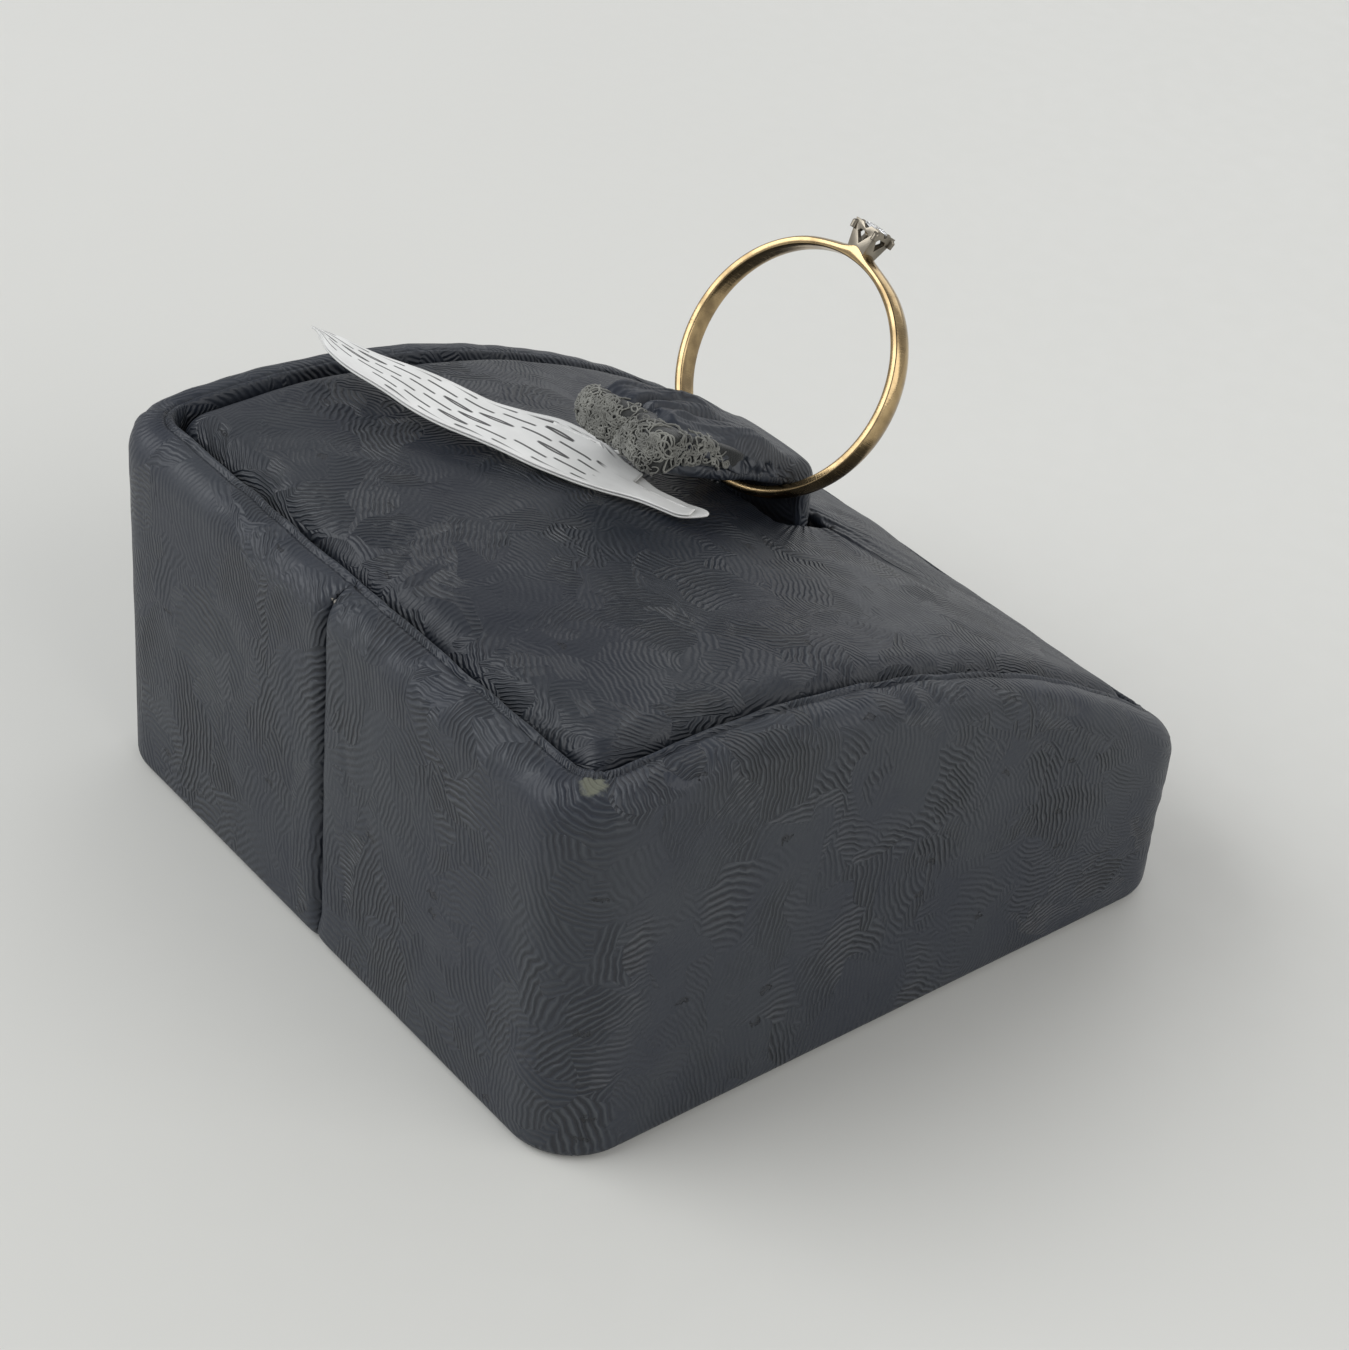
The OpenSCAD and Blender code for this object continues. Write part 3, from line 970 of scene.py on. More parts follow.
@dataclass
class Sides:
    """Leatherette round the sides, its rolled rim and the thin foam behind it."""

    plan: ArchedPlan
    skin: float = 0.4
    rim_roll: float = 1.75
    rim_width: float = 3.1
    turn_down: float = 2.9
    turn_under: float = 3.3
    foot_round: float = 0.8
    foam: float = 0.5
    seam_gap: float = 0.02
    seam_rounds: tuple[float, float] = (1.0, 1.5)
    seam_depth: float = 0.93
    foam_gap: float = 2.6
    wall_rows: int = 44

    def profile(self) -> Array:
        """The section of the wrap from under the base, up the side and down inside the rim.

        Returns:
            Rows of inset, height above the floor, share of the way to the arch, height from the
            arch, and direction outwards in degrees, from 0 to the side to 90 upwards.
        """
        floor = self.plan.low[2]
        rows = [(self.turn_under, floor, 0, 0, -90), (2.2, floor, 0, 0, -90), (1.4, floor, 0, 0, -90)]
        for turn in np.linspace(-90, 0, 8):
            away = math.radians(turn)
            rows.append((self.foot_round * (1 - math.cos(away)),
                         floor + self.foot_round * (1 + math.sin(away)), 0, 0, turn))
        for share in np.linspace(0, 1, self.wall_rows)[1:-1]:
            rows.append((0, floor + self.foot_round, share, -self.rim_roll * 1.1, 0))
        for turn in np.linspace(0, 78, 14):
            away = math.radians(turn)
            rows.append((self.rim_roll * (1 - math.cos(away)),
                         0, 1, -self.rim_roll * 1.1 * (1 - math.sin(away)), turn))
        bead = ((1.75, 0.0, 84), (2.05, 0.02, 90), (2.25, -0.03, 95), (2.36, -0.14, 100), (2.44, -0.20, 95),
                (2.52, -0.12, 90), (2.62, 0.04, 90), (2.74, 0.10, 92), (2.86, 0.04, 110), (2.95, -0.12, 140),
                (3.0, -0.36, 165))
        rows += [(inset, 0, 1, rise, turn) for inset, rise, turn in bead]
        rows += [(self.rim_width, 0, 1, -drop, 180) for drop in np.linspace(0.7, self.turn_down, 8)]
        return np.array(rows, float)

    def skin_points(self, rows: Array, sink: float, gap: float) -> Array:
        """Points of the wrap's outer face, or of a face sunk below it.

        Args:
            rows: the profile.
            sink: how far inside the outer face, in millimetres.
            gap: how far from the seam's line it starts and ends.

        Returns:
            Rows by columns by 3 points in millimetres.
        """
        points, normals = self.plan.walk(gap, 3.4)
        turn = np.radians(rows[:, 4])[:, None]
        inset = rows[:, 0][:, None] + sink * np.cos(turn)
        drop = -sink * np.sin(turn)
        uneven = self.unevenness(rows, points)
        inset = inset - uneven * np.cos(turn)
        x = points[:, 0] - normals[:, 0] * inset
        y = points[:, 1] - normals[:, 1] * inset
        low = rows[:, 1][:, None] + drop
        high = self.plan.arch(np.clip(y, -30, 30)) + rows[:, 3][:, None] + drop + uneven * np.sin(turn)
        share = rows[:, 2][:, None]
        z = low * (1 - share) + high * share
        return self.seam(np.stack([x, y, z], axis=2), rows)

    def unevenness(self, rows: Array, points: Array) -> Array:
        """How far the hand-stretched leatherette stands off its true shape."""
        height = (rows[:, 1] + rows[:, 2] * (26 + rows[:, 3]))[:, None]
        x, y = points[:, 0][None], points[:, 1][None]
        wall = (smooth_step(0.0, 0.15, rows[:, 2]) * (1 - 0.4 * smooth_step(0.9, 1, rows[:, 2])))[:, None]
        slow = Ripple(11, 15.0, 0.03).at(x, y, height) * wall
        close = Ripple(12, 3.6, 0.014).at(x, y, height) * wall
        rim = (rows[:, 2] >= 1)[:, None] * (rows[:, 0] > 0.3)[:, None]
        beads = Ripple(13, 3.2, 0.035).at(x, y) * rim
        corner = np.minimum(np.abs(np.abs(x) - self.plan.half[0] + 1.5), 9) + np.minimum(
            np.abs(np.abs(y) - self.plan.half[1] + 1.5), 9)
        pleats = Ripple(14, 1.0, 0.075).at(x, y) * np.exp(-((corner / 2.2) ** 2)) * rim
        streaks = self.seam_streaks(x, y, height) * wall
        return slow + close + beads + pleats + streaks

    def seam_streaks(self, x: Array, y: Array, height: Array) -> Array:
        """Shallow upright puckers beside the back seam."""
        back = y > self.plan.half[1] - 0.1
        total = np.zeros(np.broadcast(x, height).shape)
        streaks = ((-3.7, 0.35, 0.10, 21), (-5.9, 0.5, 0.07, 22), (3.1, 0.3, 0.06, 23))
        for centre, width, depth, seed in streaks:
            drift = Ripple(seed, 14.0, 0.35).at(height, height * 0)
            total -= depth * bump(x - drift, centre, width) * (0.4 + 0.6 * np.sin(height * 0.35 + seed) ** 2)
        return total * back

    def seam(self, grid: Array, rows: Array) -> Array:
        """Rounds the two ends of the wrap into the groove of the back seam.

        Args:
            grid: the wrap's points.
            rows: the profile.

        Returns:
            The points with the ends rounded in.
        """
        x, y = grid[..., 0], grid[..., 1]
        inset = rows[:, 0][:, None]
        for sign, round_off in zip((1, -1), self.seam_rounds):
            beside = (x * sign > 0) & (x * sign < round_off) & (y > 0)
            share = np.clip(1 - np.abs(x) / round_off, 0, 0.999)
            inwards = self.seam_depth * (1 - np.sqrt(1 - share ** 2)) * beside
            inwards = inwards * (0.3 + 0.7 * smooth_step(0.0, 0.08, rows[:, 2]))[:, None]
            grid[..., 1] -= inwards * np.clip(1 - inset / self.rim_width, 0, 1)
            top = smooth_step(0.9, 1.0, rows[:, 2])[:, None] * np.clip(1.15 - 0.33 * inset, 0.25, 1)
            grid[..., 2] -= 0.12 * inwards * top
        return grid

    def build(self) -> None:
        """Makes and dresses the wrap and its foam."""
        rows = self.profile()
        outer, inner = (self.skin_points(rows, sink, self.seam_gap) for sink in (0.0, self.skin))
        wrap = thick_sheet("side_wrap", outer, inner)
        corner = self.plan.half - self.rim_width + 0.5
        spot = (-corner[0], corner[1], float(self.plan.arch(corner[1])))
        settle_in(wrap, Leatherette(worn=spot), Body.BLOCK, "side_cover")
        kept = rows[(rows[:, 2] > 0.02) & (rows[:, 0] < 1.2)]
        foam = thick_sheet("wrap_foam", self.skin_points(kept, self.skin + 0.06, self.foam_gap),
                           self.skin_points(kept, self.skin + self.foam, self.foam_gap))
        finish = Board("foam_sheet", rgb(0.62, 0.62, 0.58), rgb(0.40, 0.40, 0.37), 3.0, 0.2)
        settle_in(foam, finish, Body.BLOCK, "side_foam")


@dataclass
class Deck:
    """The deck pad with the slot that the clip stands in."""

    plan: ArchedPlan
    skin: float = 0.42
    trench: float = 0.22
    shoulder: float = 2.0
    shoulder_drop: float = 2.1
    turn_down: float = 3.3
    slot_lip: float = 0.5
    slot_clear: float = 0.03
    slot_turn_down: float = 2.6
    foam: float = 2.0
    foam_clear: float = 0.03
    loops_in_slot: int = 14
    side_points: int = 96
    corner_points: int = 14
    field_rows: int = 62

    def __post_init__(self) -> None:
        """Reads the pad's and the slot's boxes."""
        low, high = node_box("deck_cover")
        self.half = (high[:2] - low[:2]) / 2
        wedge_low, wedge_high = node_box("clip_wedge")
        self.slot_middle = tuple((wedge_low[:2] + wedge_high[:2]) / 2)
        self.slot_half = (wedge_high[:2] - wedge_low[:2]) / 2

    def loop(self, middle: tuple[float, float], half: Array, radius: float) -> Array:
        """A rounded outline with the pad's count of points."""
        return rounded_loop(middle, tuple(half), radius, self.side_points, self.corner_points)[0]

    def outer_loop(self, inset: float) -> Array:
        """The pad's outline set in from its edge."""
        return self.loop((0, 0), self.half - self.trench - inset, max(1.4 - inset * 0.4, 0.7))

    def slot_loop(self, grow: float) -> Array:
        """The slot's outline, grown outwards."""
        return self.loop(self.slot_middle, self.slot_half + grow, max(0.5 + grow, 0.12))

    def rows(self, sink: float) -> tuple[Array, Array]:
        """Loops of the pad's skin from inside the slot, over the top and down its shoulders.

        Args:
            sink: how far inside the outer face, in millimetres.

        Returns:
            Rows by columns by 2 places, and the heights of the rows' points from the pad's arch.
        """
        loops, drops = [], []
        for drop in np.linspace(self.slot_turn_down, self.slot_lip, 6):
            loops.append(self.slot_loop(sink + self.slot_clear))
            drops.append(-drop)
        lip = self.slot_lip - sink
        for turn in np.radians(np.linspace(12, 90, 8)):
            loops.append(self.slot_loop(sink + self.slot_clear + lip * (1 - math.cos(turn))))
            drops.append(-self.slot_lip + lip * math.sin(turn))
        inner, outer = loops[-1], self.outer_loop(self.shoulder)
        for share in np.linspace(0, 1, self.field_rows + 2)[1:-1] ** 1.25:
            loops.append(inner * (1 - share) + outer * share)
            drops.append(-sink)
        width, drop = self.shoulder - sink, self.shoulder_drop - sink
        for turn in np.radians(np.linspace(0, 86, 14)):
            loops.append(self.outer_loop(self.shoulder - width * math.sin(turn)))
            drops.append(-sink - drop * (1 - math.cos(turn)))
        for level in np.linspace(self.shoulder_drop, self.turn_down, 5)[1:]:
            loops.append(self.outer_loop(sink))
            drops.append(-level)
        return np.array(loops), np.array(drops)

    def relief(self, loops: Array, drops: Array) -> Array:
        """Puckers about the slot and the gentle hills of the foam."""
        x, y = loops[..., 0], loops[..., 1]
        away = np.maximum(np.abs(loops - self.slot_middle) - self.slot_half, 0)
        near = np.linalg.norm(away, axis=2)
        count = loops.shape[1]
        turn = np.arange(count) / count * 2 * math.pi
        random = np.random.default_rng(31)
        puckers = np.zeros(count)
        for waves in range(16, 44, 3):
            puckers += random.uniform(0.4, 1) * np.sin(waves * turn + random.uniform(0, 6.3))
        puckers = np.tanh(puckers) * 0.5
        front = smooth_step(self.slot_middle[1], self.slot_middle[1] - self.slot_half[1] - 0.5, y)
        reach = 2.2 + 3.0 * front
        lifted = smooth_step(0.0, 0.5, near) * np.exp(-near / reach)
        total = puckers * lifted * (0.10 + 0.16 * front)
        total += 0.16 * bump(near, 1.2, 1.3) * (0.4 + 0.6 * front)
        total += Ripple(32, 13.0, 0.07).at(x, y) * smooth_step(0.2, 4, near)
        total += Ripple(33, 3.4, 0.018).at(x, y)
        return total * (np.asarray(drops)[:, None] > -1.2)

    def points(self, sink: float) -> Array:
        """Points of the pad's outer face, or of a face sunk below it."""
        loops, drops = self.rows(sink)
        z = self.plan.pad(loops[..., 1]) + drops[:, None] + self.relief(loops, drops)
        return np.concatenate([loops, z[..., None]], axis=2)

    def build(self) -> None:
        """Makes and dresses the pad's leatherette, its foam and the flock under the base."""
        outer, inner = self.points(0.0), self.points(self.skin)
        flat = self.flat(outer)
        cover = thick_sheet("deck_pad", outer, inner, flat, closed_cols=True)
        # Painted shade: the pad's leatherette is a darker copy of the sides' leatherette, darkened for the
        # shade that lies on the top.
        finish = Leatherette("leatherette_deck_shaded", rgb(0.0075, 0.0108, 0.0190), rgb(0.0140, 0.0180, 0.0250),
                             patch=5.6, seed=41.0)
        settle_in(cover, finish, Body.BLOCK, "deck_cover")
        self.build_foam(inner)
        self.build_flock()

    def flat(self, grid: Array) -> Array:
        """Places on the flat leatherette: across the block, and along the arch, with the drop added."""
        middle = np.array((0.0, self.plan.crown_back))
        away = grid[..., :2] - middle
        loops, drops = self.rows(0.0)
        fall = np.clip(-drops, 0, None)[:, None]
        out = loops - loops.mean(axis=1, keepdims=True)
        out /= np.maximum(np.abs(out).max(axis=2, keepdims=True), 1e-9)
        bend = self.plan.arch_radius * np.arcsin(away[..., 1] / self.plan.arch_radius)
        inside = np.arange(len(drops))[:, None, None] < self.loops_in_slot
        flat = np.stack([away[..., 0], bend], axis=2) + np.where(inside, -1, 1) * out * fall[..., None]
        return np.concatenate([flat, flat[:, :1]], axis=1)

    def foam_floor(self, row: Array) -> Array:
        """A row of points brought to the foam's underside."""
        return np.column_stack([row[:, :2], self.plan.pad(row[:, 1]) - self.foam - self.skin])

    def build_foam(self, inner: Array) -> None:
        """The foam that fills the pad under its leatherette."""
        top = inner - (0, 0, self.foam_clear)
        first, last = self.foam_floor(top[0]), self.foam_floor(top[-1])
        kept = [row for row in top if (row[:, 2] > self.foam_floor(row)[:, 2] + 0.05).all()]
        under = [self.foam_floor(last * (1 - share) + first * share) for share in np.linspace(0, 1, 8)[1:-1]]
        foam = tube_of_grid("pad_foam", np.array([first, *kept, last, *under]), closed_rows=True)
        settle_in(foam, Board("foam_sheet"), Body.BLOCK, "deck_foam")

    def build_flock(self) -> None:
        """The flocked paper that the block stands on."""
        low, high = node_box("base_felt")
        half, top = (high[:2] - low[:2]) / 2, high[2]
        rows = ((9.0, 0.0), (1.2, 0.0), (0.3, 0.0), (0.1, 0.06), (0.0, 0.2), (0.0, top - 0.15), (0.12, top),
                (9.0, top))
        loops = []
        for inset, z in rows:
            loop = rounded_loop((0, 0), tuple(half - inset), 1.5, 40, 10)[0]
            loops.append(np.column_stack([loop, np.full(len(loop), z)]))
        flock = tube_of_grid("base_flock", np.array(loops))
        finish = Board("flock", rgb(0.030, 0.033, 0.040), rgb(0.012, 0.014, 0.018), 6.0, 0.12, 0.6)
        settle_in(flock, finish, Body.BLOCK, "base_felt")


@dataclass
class Carcass:
    """Card, fibreboard and steel parts that the covers hide."""

    boards: tuple[str, ...] = ("base_card", "side_band", "deck_card")
    woods: tuple[str, ...] = ("core_block", "clip_wedge")
    steels: tuple[str, ...] = ("clip_foot", "clip_spring")

    def build(self, nodes: dict[str, bpy.types.Object]) -> None:
        """Dresses the parts.

        Args:
            nodes: the CAD objects by name.
        """
        wood = Board("fibreboard", rgb(0.40, 0.29, 0.18), rgb(0.27, 0.18, 0.11), 6.0, 0.08)
        for names, finish, slot in ((self.boards, Board(), Slot.BOARD), (self.woods, wood, Slot.CORE),
                                    (self.steels, SpringSteel(), Slot.SPRING)):
            for name in names:
                dress(nodes[name], finish)


# ---------------------------------------------------------------- clip


@dataclass
class TongueFrame:
    """The bent strip that the clip's layers follow: up its leg, round the elbow and along the tongue."""

    plan: ArchedPlan
    leg: float = 0.8
    lift: float = 2.5
    rise: float = 22.0
    length: float = 13.0

    def __post_init__(self) -> None:
        """Reads the clip's box."""
        low, high = node_box("clip_under_cover")
        self.near, self.far = float(low[0]), float(high[0])
        self.elbow_y = float(low[1]) + self.leg
        self.elbow_z = float(self.plan.pad(self.elbow_y)) + self.lift
        self.foot = float(low[2]) - self.elbow_z

    def place(self, x: Array, s: Array, v: Array) -> Array:
        """A point on the strip.

        Args:
            x: place across the block in millimetres.
            s: below 0 the height from the elbow on the leg, 0 to 1 round the elbow, and above 1 the
                length along the tongue, plus 1.
            v: distance outside the strip's inner face.

        Returns:
            Points in millimetres.
        """
        x, s, v = np.broadcast_arrays(np.asarray(x, float), np.asarray(s, float), np.asarray(v, float))
        turn = np.radians(180 - (90 - self.rise) * np.clip(s, 0, 1))
        down, along = np.minimum(s, 0), np.maximum(s - 1, 0)
        pitch = math.radians(self.rise)
        y = self.elbow_y + v * np.cos(turn) + along * math.cos(pitch)
        z = self.elbow_z + v * np.sin(turn) + along * math.sin(pitch) + down
        return np.stack([x, y, z], axis=-1)

    def steps(self, below: float, end: float, pitch: float = 0.14) -> Array:
        """Places along the strip from some way below the elbow to some way along the tongue."""
        leg = np.linspace(-below, 0, max(int(below / 0.3), 2))
        return np.concatenate([leg[:-1], np.linspace(0, 1, 12), 1 + np.arange(pitch, end, pitch), [1 + end]])


@dataclass
class Clip:
    """The sprung tongue: two leatherette skins over a knit-backed pad."""

    frame: TongueFrame
    skin: float = 0.45
    corner: float = 1.15
    middle: float = 1.4
    half: float = 4.4
    slack: float = 0.02
    edge: float = 0.2
    knit_start: float = 6.2
    crown: Curve = Curve((-20, 0, 1.5, 4, 7.5, 10.5, 13, 15), (1.9, 1.9, 2.12, 2.55, 2.98, 3.0, 2.82, 2.6))
    near_hem: Curve = Curve((0, 1.5, 5, 7.0, 9.0, 10.4, 12, 14), (0.8, 1.0, 1.05, 1.15, 1.85, 2.1, 1.95, 1.8))
    side_height: Curve = Curve((0, 4, 7.5, 14), (1.9, 2.5, 2.9, 2.8))
    lip_setback: Curve = Curve((-3.2, -2.2, -0.5, 0.7, 2.0, 3.6, 5.0, 6.0),
                               (1.3, 0.9, 0.75, 1.5, 0.75, 0.1, 0.0, 0.4))
    leather: Leatherette = Leatherette("leatherette_clip", seed=77.0, patch=3.4, depth=0.09)
    yarn_count: int = 185
    yarn_radius: float = 0.072
    yarn_sides: int = 6
    shortest_strand: int = 6
    yarn_step: float = 0.13

    def top_height(self, x: Array, u: Array) -> Array:
        """How far the top skin stands off the strip, with its long wrinkles."""
        crown = self.crown.at(u)
        across = (x - self.middle) / self.half
        dome = 0.22 * across ** 4 + 0.06 * across ** 2
        tongue = smooth_step(1.0, 5.0, u)
        broad = Ripple(51, 5.5, 0.12).at(x * 1.6, u * 0.5) * tongue
        long_waves = Ripple(52, 1.5, 0.14).at(x * 1.15 + 0.25 * np.sin(u * 0.5), u * 0.16) * tongue
        long_waves += Ripple(54, 0.75, 0.05).at(x, u * 0.22) * tongue
        creases = np.zeros_like(dome + u)
        for centre, drift, begin, end, deep in ((0.7, 0.10, 6.0, 14.0, 0.34), (2.6, -0.06, 8.5, 14.0, 0.20),
                                                (-1.2, 0.16, 9.0, 14.0, 0.18), (4.3, 0.05, 5.0, 13.0, 0.16)):
            line = centre + drift * (u - 9)
            there = smooth_step(begin, begin + 2.5, u) * (1 - 0.5 * smooth_step(end - 1.0, end, u))
            creases += deep * np.exp(-np.abs(x - line) / 0.22) * there
        return crown - dome + broad + long_waves - creases

    def top_section(self, u: float) -> tuple[Array, Array]:
        """Places across the top skin and drops down its sides, before the wrinkles.

        Args:
            u: length along the tongue, below 0 on the leg.

        Returns:
            Places across and drops below the top.
        """
        near, far = self.frame.near - self.slack, self.frame.far + self.slack
        turn = np.radians(np.linspace(0, 90, 12))
        round_x, round_v = self.corner * (1 - np.sin(turn)), self.corner * (1 - np.cos(turn))
        flat = np.linspace(near + self.corner, far - self.corner, 92)[1:-1]
        bottom, far_bottom, height = 1.0, 1.0, 1.9
        if u >= 0:
            bottom, far_bottom = float(self.near_hem.at(u)), 0.9
            height = float(self.side_height.at(u))
        walls = []
        for low in (bottom, far_bottom):
            depth = max(height - low, self.corner + 0.05)
            walls.append(np.linspace(depth, self.corner, 12)[:-1])
        x = np.concatenate([np.full(11, near), near + round_x[::-1], flat, far - round_x, np.full(11, far)])
        drop = np.concatenate([walls[0], round_v[::-1], np.zeros(len(flat)), round_v, walls[1][::-1]])
        return x, drop

    def build_top(self) -> None:
        """The skin over the top of the tongue and down the front of its leg."""
        steps = self.frame.steps(-self.frame.foot, self.frame.length + 0.9)
        rows = []
        for s in steps:
            u = s - 1 if s > 1 else min(s, 0.0)
            x, drop = self.top_section(u)
            end = smooth_step(self.frame.length - 1.2, self.frame.length + 0.9, u)
            back = end * self.lip_setback.at(x)
            place_u = np.full_like(x, u)
            v = self.top_height(x, place_u) - drop
            curl = end ** 2 * (0.5 + 0.55 * bump(x, 4.2, 1.6))
            side = Ripple(53, 1.5, 0.16).at(place_u, v) * (drop > self.corner * 0.6) * smooth_step(0.5, 3, u)
            rows.append(self.frame.place(x + side, s - back, v - curl))
        outer = np.array(rows)
        normal = outwards(outer)
        if normal[len(normal) // 2, len(normal[0]) // 2, 2] < 0:
            normal = -normal
        top = thick_sheet("tongue_skin", outer, outer - normal * self.skin)
        settle_in(top, self.leather, Body.CLIP, "clip_top_cover")

    def build_under(self) -> None:
        """The skin behind the leg and under the tongue."""
        steps = self.frame.steps(-self.frame.foot, 13.1, 0.2)
        turn = np.radians(np.linspace(-90, 90, 10))
        rows = []
        for s in steps:
            u = s - 1 if s > 1 else 0.0
            sag = 0.32 * float(smooth_step(5.0, 8.0, u))
            low, high = 0.03 - sag, 0.78
            r, middle = (high - low) / 2, (high + low) / 2
            near, far = self.frame.near - self.slack + r, self.frame.far + self.slack - r
            flat = np.linspace(near, far, 44)[1:-1]
            x = np.concatenate([far + r * np.cos(turn), flat[::-1], near - r * np.cos(turn), flat])
            v = np.concatenate([middle + r * np.sin(turn), np.full(len(flat), high),
                                middle - r * np.sin(turn), np.full(len(flat), low)])
            uneven = Ripple(55, 1.8, 0.05).at(x, np.full_like(x, u)) * (u > 1.5)
            from_middle = x - self.middle
            wavy = x + uneven * np.sign(from_middle) * (np.abs(from_middle) > self.half - self.edge)
            rows.append(self.frame.place(wavy, s, v + np.abs(uneven) * (v > middle)))
        under = tube_of_grid("tongue_lining", np.array(rows))
        settle_in(under, self.leather, Body.CLIP, "clip_under_cover")

    def knit_roll(self) -> Array:
        """Loops of the padded roll at the tongue's end, each a section along and off the strip.

        Returns:
            Rows across the tongue, by points round the section, by 3, in millimetres.
        """
        knots = np.array(((self.knit_start, 0.70), (9.5, 0.68), (12.3, 0.62), (12.95, 0.1), (13.35, -0.42),
                          (13.95, -0.35), (14.35, 0.35), (14.4, 1.2), (14.15, 1.95), (13.5, 2.35),
                          (12.2, 2.42), (9.5, 2.25),
                          (self.knit_start, 1.75), (self.knit_start - 0.2, 1.2)))
        count = 72
        share = np.linspace(0, len(knots), count, endpoint=False)
        index, part = share.astype(int), (share % 1)[:, None]
        p = [knots[(index + k) % len(knots)] for k in (-1, 0, 1, 2)]
        section = 0.5 * (2 * p[1] + (p[2] - p[0]) * part + (2 * p[0] - 5 * p[1] + 4 * p[2] - p[3]) * part ** 2
                         + (3 * p[1] - p[0] - 3 * p[2] + p[3]) * part ** 3)
        middle = np.array((12.0, 1.1))
        half = (self.frame.far - self.frame.near) / 2 + 0.03
        rows = []
        for place in np.sin(np.linspace(-1, 1, 64) * math.pi / 2) * 0.9995:
            x = self.frame.near + half - 0.02 + place * half
            swell = (1 - abs(place) ** 7) ** (1 / 3.2)
            bulge = 0.30 * bump(x, -1.6, 1.5) + 0.22 * bump(x, 3.7, 1.7) - 0.14 * bump(x, 1.3, 0.8)
            shape = middle + (section - middle) * (0.72 + 0.28 * swell)
            end = smooth_step(12.4, 13.6, shape[:, 0])
            u = shape[:, 0] + bulge * end
            v = shape[:, 1] + (0.22 * (self.middle - x) / self.half) * (shape[:, 1] > 1.4)
            fold = 0.22 * bump(x - 0.9 + 0.5 * (v - 1.0), 0.3, 0.45) * end
            rows.append(self.frame.place(np.full(count, x), 1 + u - fold, v))
        return np.array(rows)

    def build_knit(self) -> None:
        """The roll and the loops of yarn over it."""
        roll = tube_of_grid("knit_roll", self.knit_roll())
        # Painted shade: the roll under the yarn is near-black to stand for the shade between the loops.
        finish = Knit("knit_ground", rgb(0.040, 0.042, 0.040), rgb(0.018, 0.019, 0.019))
        settle_in(roll, finish, Body.CLIP, "clip_pad")
        yarn = self.yarn(roll)
        settle_in(yarn, Knit(), Body.CLIP, "clip_pad")

    def yarn(self, roll: bpy.types.Object) -> bpy.types.Object:
        """Curling strands laid over the roll.

        Args:
            roll: what they lie on.

        Returns:
            One object of all the strands.
        """
        tree = BVHTree.FromPolygons([v.co[:] for v in roll.data.vertices],
                                    [p.vertices[:] for p in roll.data.polygons])
        random = np.random.default_rng(61)
        points, faces, sides = [], [], self.yarn_sides
        for _ in range(self.yarn_count):
            path, normals = self.strand(tree, random)
            if len(path) < self.shortest_strand:
                continue
            along = unit(np.gradient(path, axis=0))
            side = unit(np.cross(along, normals))
            taper = np.sin(np.linspace(0.12, math.pi - 0.12, len(path))) ** 0.25
            section = round_section(sides, self.yarn_radius * random.uniform(0.7, 1.15) * taper)
            start = sum(len(p) for p in points)
            points.append(sweep(path, side, np.cross(side, along), section).reshape(-1, 3))
            faces += [q[0] for q in grid_quads(len(path), sides, False, True, start=start)]
            last = start + (len(path) - 1) * sides
            faces += [tuple(range(start, start + sides))[::-1], tuple(range(last, last + sides))]
        return piece_from("knit_yarn", np.concatenate(points), faces)

    def strand(self, tree: BVHTree, random: np.random.Generator) -> tuple[Array, Array]:
        """One strand's path over the roll.

        Args:
            tree: the roll's surface, in metres.
            random: the source of its start and curl.

        Returns:
            Places in millimetres and the surface's directions there.
        """
        x = random.uniform(self.frame.near + 0.1, self.frame.far - 0.1)
        if random.uniform() < 0.25:
            along, off = random.uniform(9.3, 14.0), random.uniform(1.4, 2.3)
            start = self.frame.place(self.frame.near - 0.3, 1 + along, off)
        else:
            start = self.frame.place(x, 1 + 14.6, random.uniform(-0.3, 2.3))
        place = Vector(start * MM)
        heading = Vector(random.normal(size=3)).normalized()
        curl = random.uniform(-1, 1)
        path, normals = [], []
        for step in range(int(random.integers(16, 42))):
            hit, normal, _, _ = tree.find_nearest(place)
            heading = (heading - heading.dot(normal) * normal).normalized()
            curl = 0.86 * curl + 0.55 * random.normal()
            heading = Matrix.Rotation(curl * 0.45, 3, normal) @ heading
            lift = 0.05 + 0.11 * (0.5 + 0.5 * math.sin(step * 0.7 + random.uniform(0, 1.2)))
            path.append(np.array(hit + normal * lift * MM) / MM)
            normals.append(np.array(normal))
            place = hit + heading * self.yarn_step * MM
        return np.array(path), np.array(normals)

    def build(self) -> None:
        """Makes and dresses the clip's soft parts."""
        self.build_top()
        self.build_under()
        self.build_knit()


# ---------------------------------------------------------------- ring


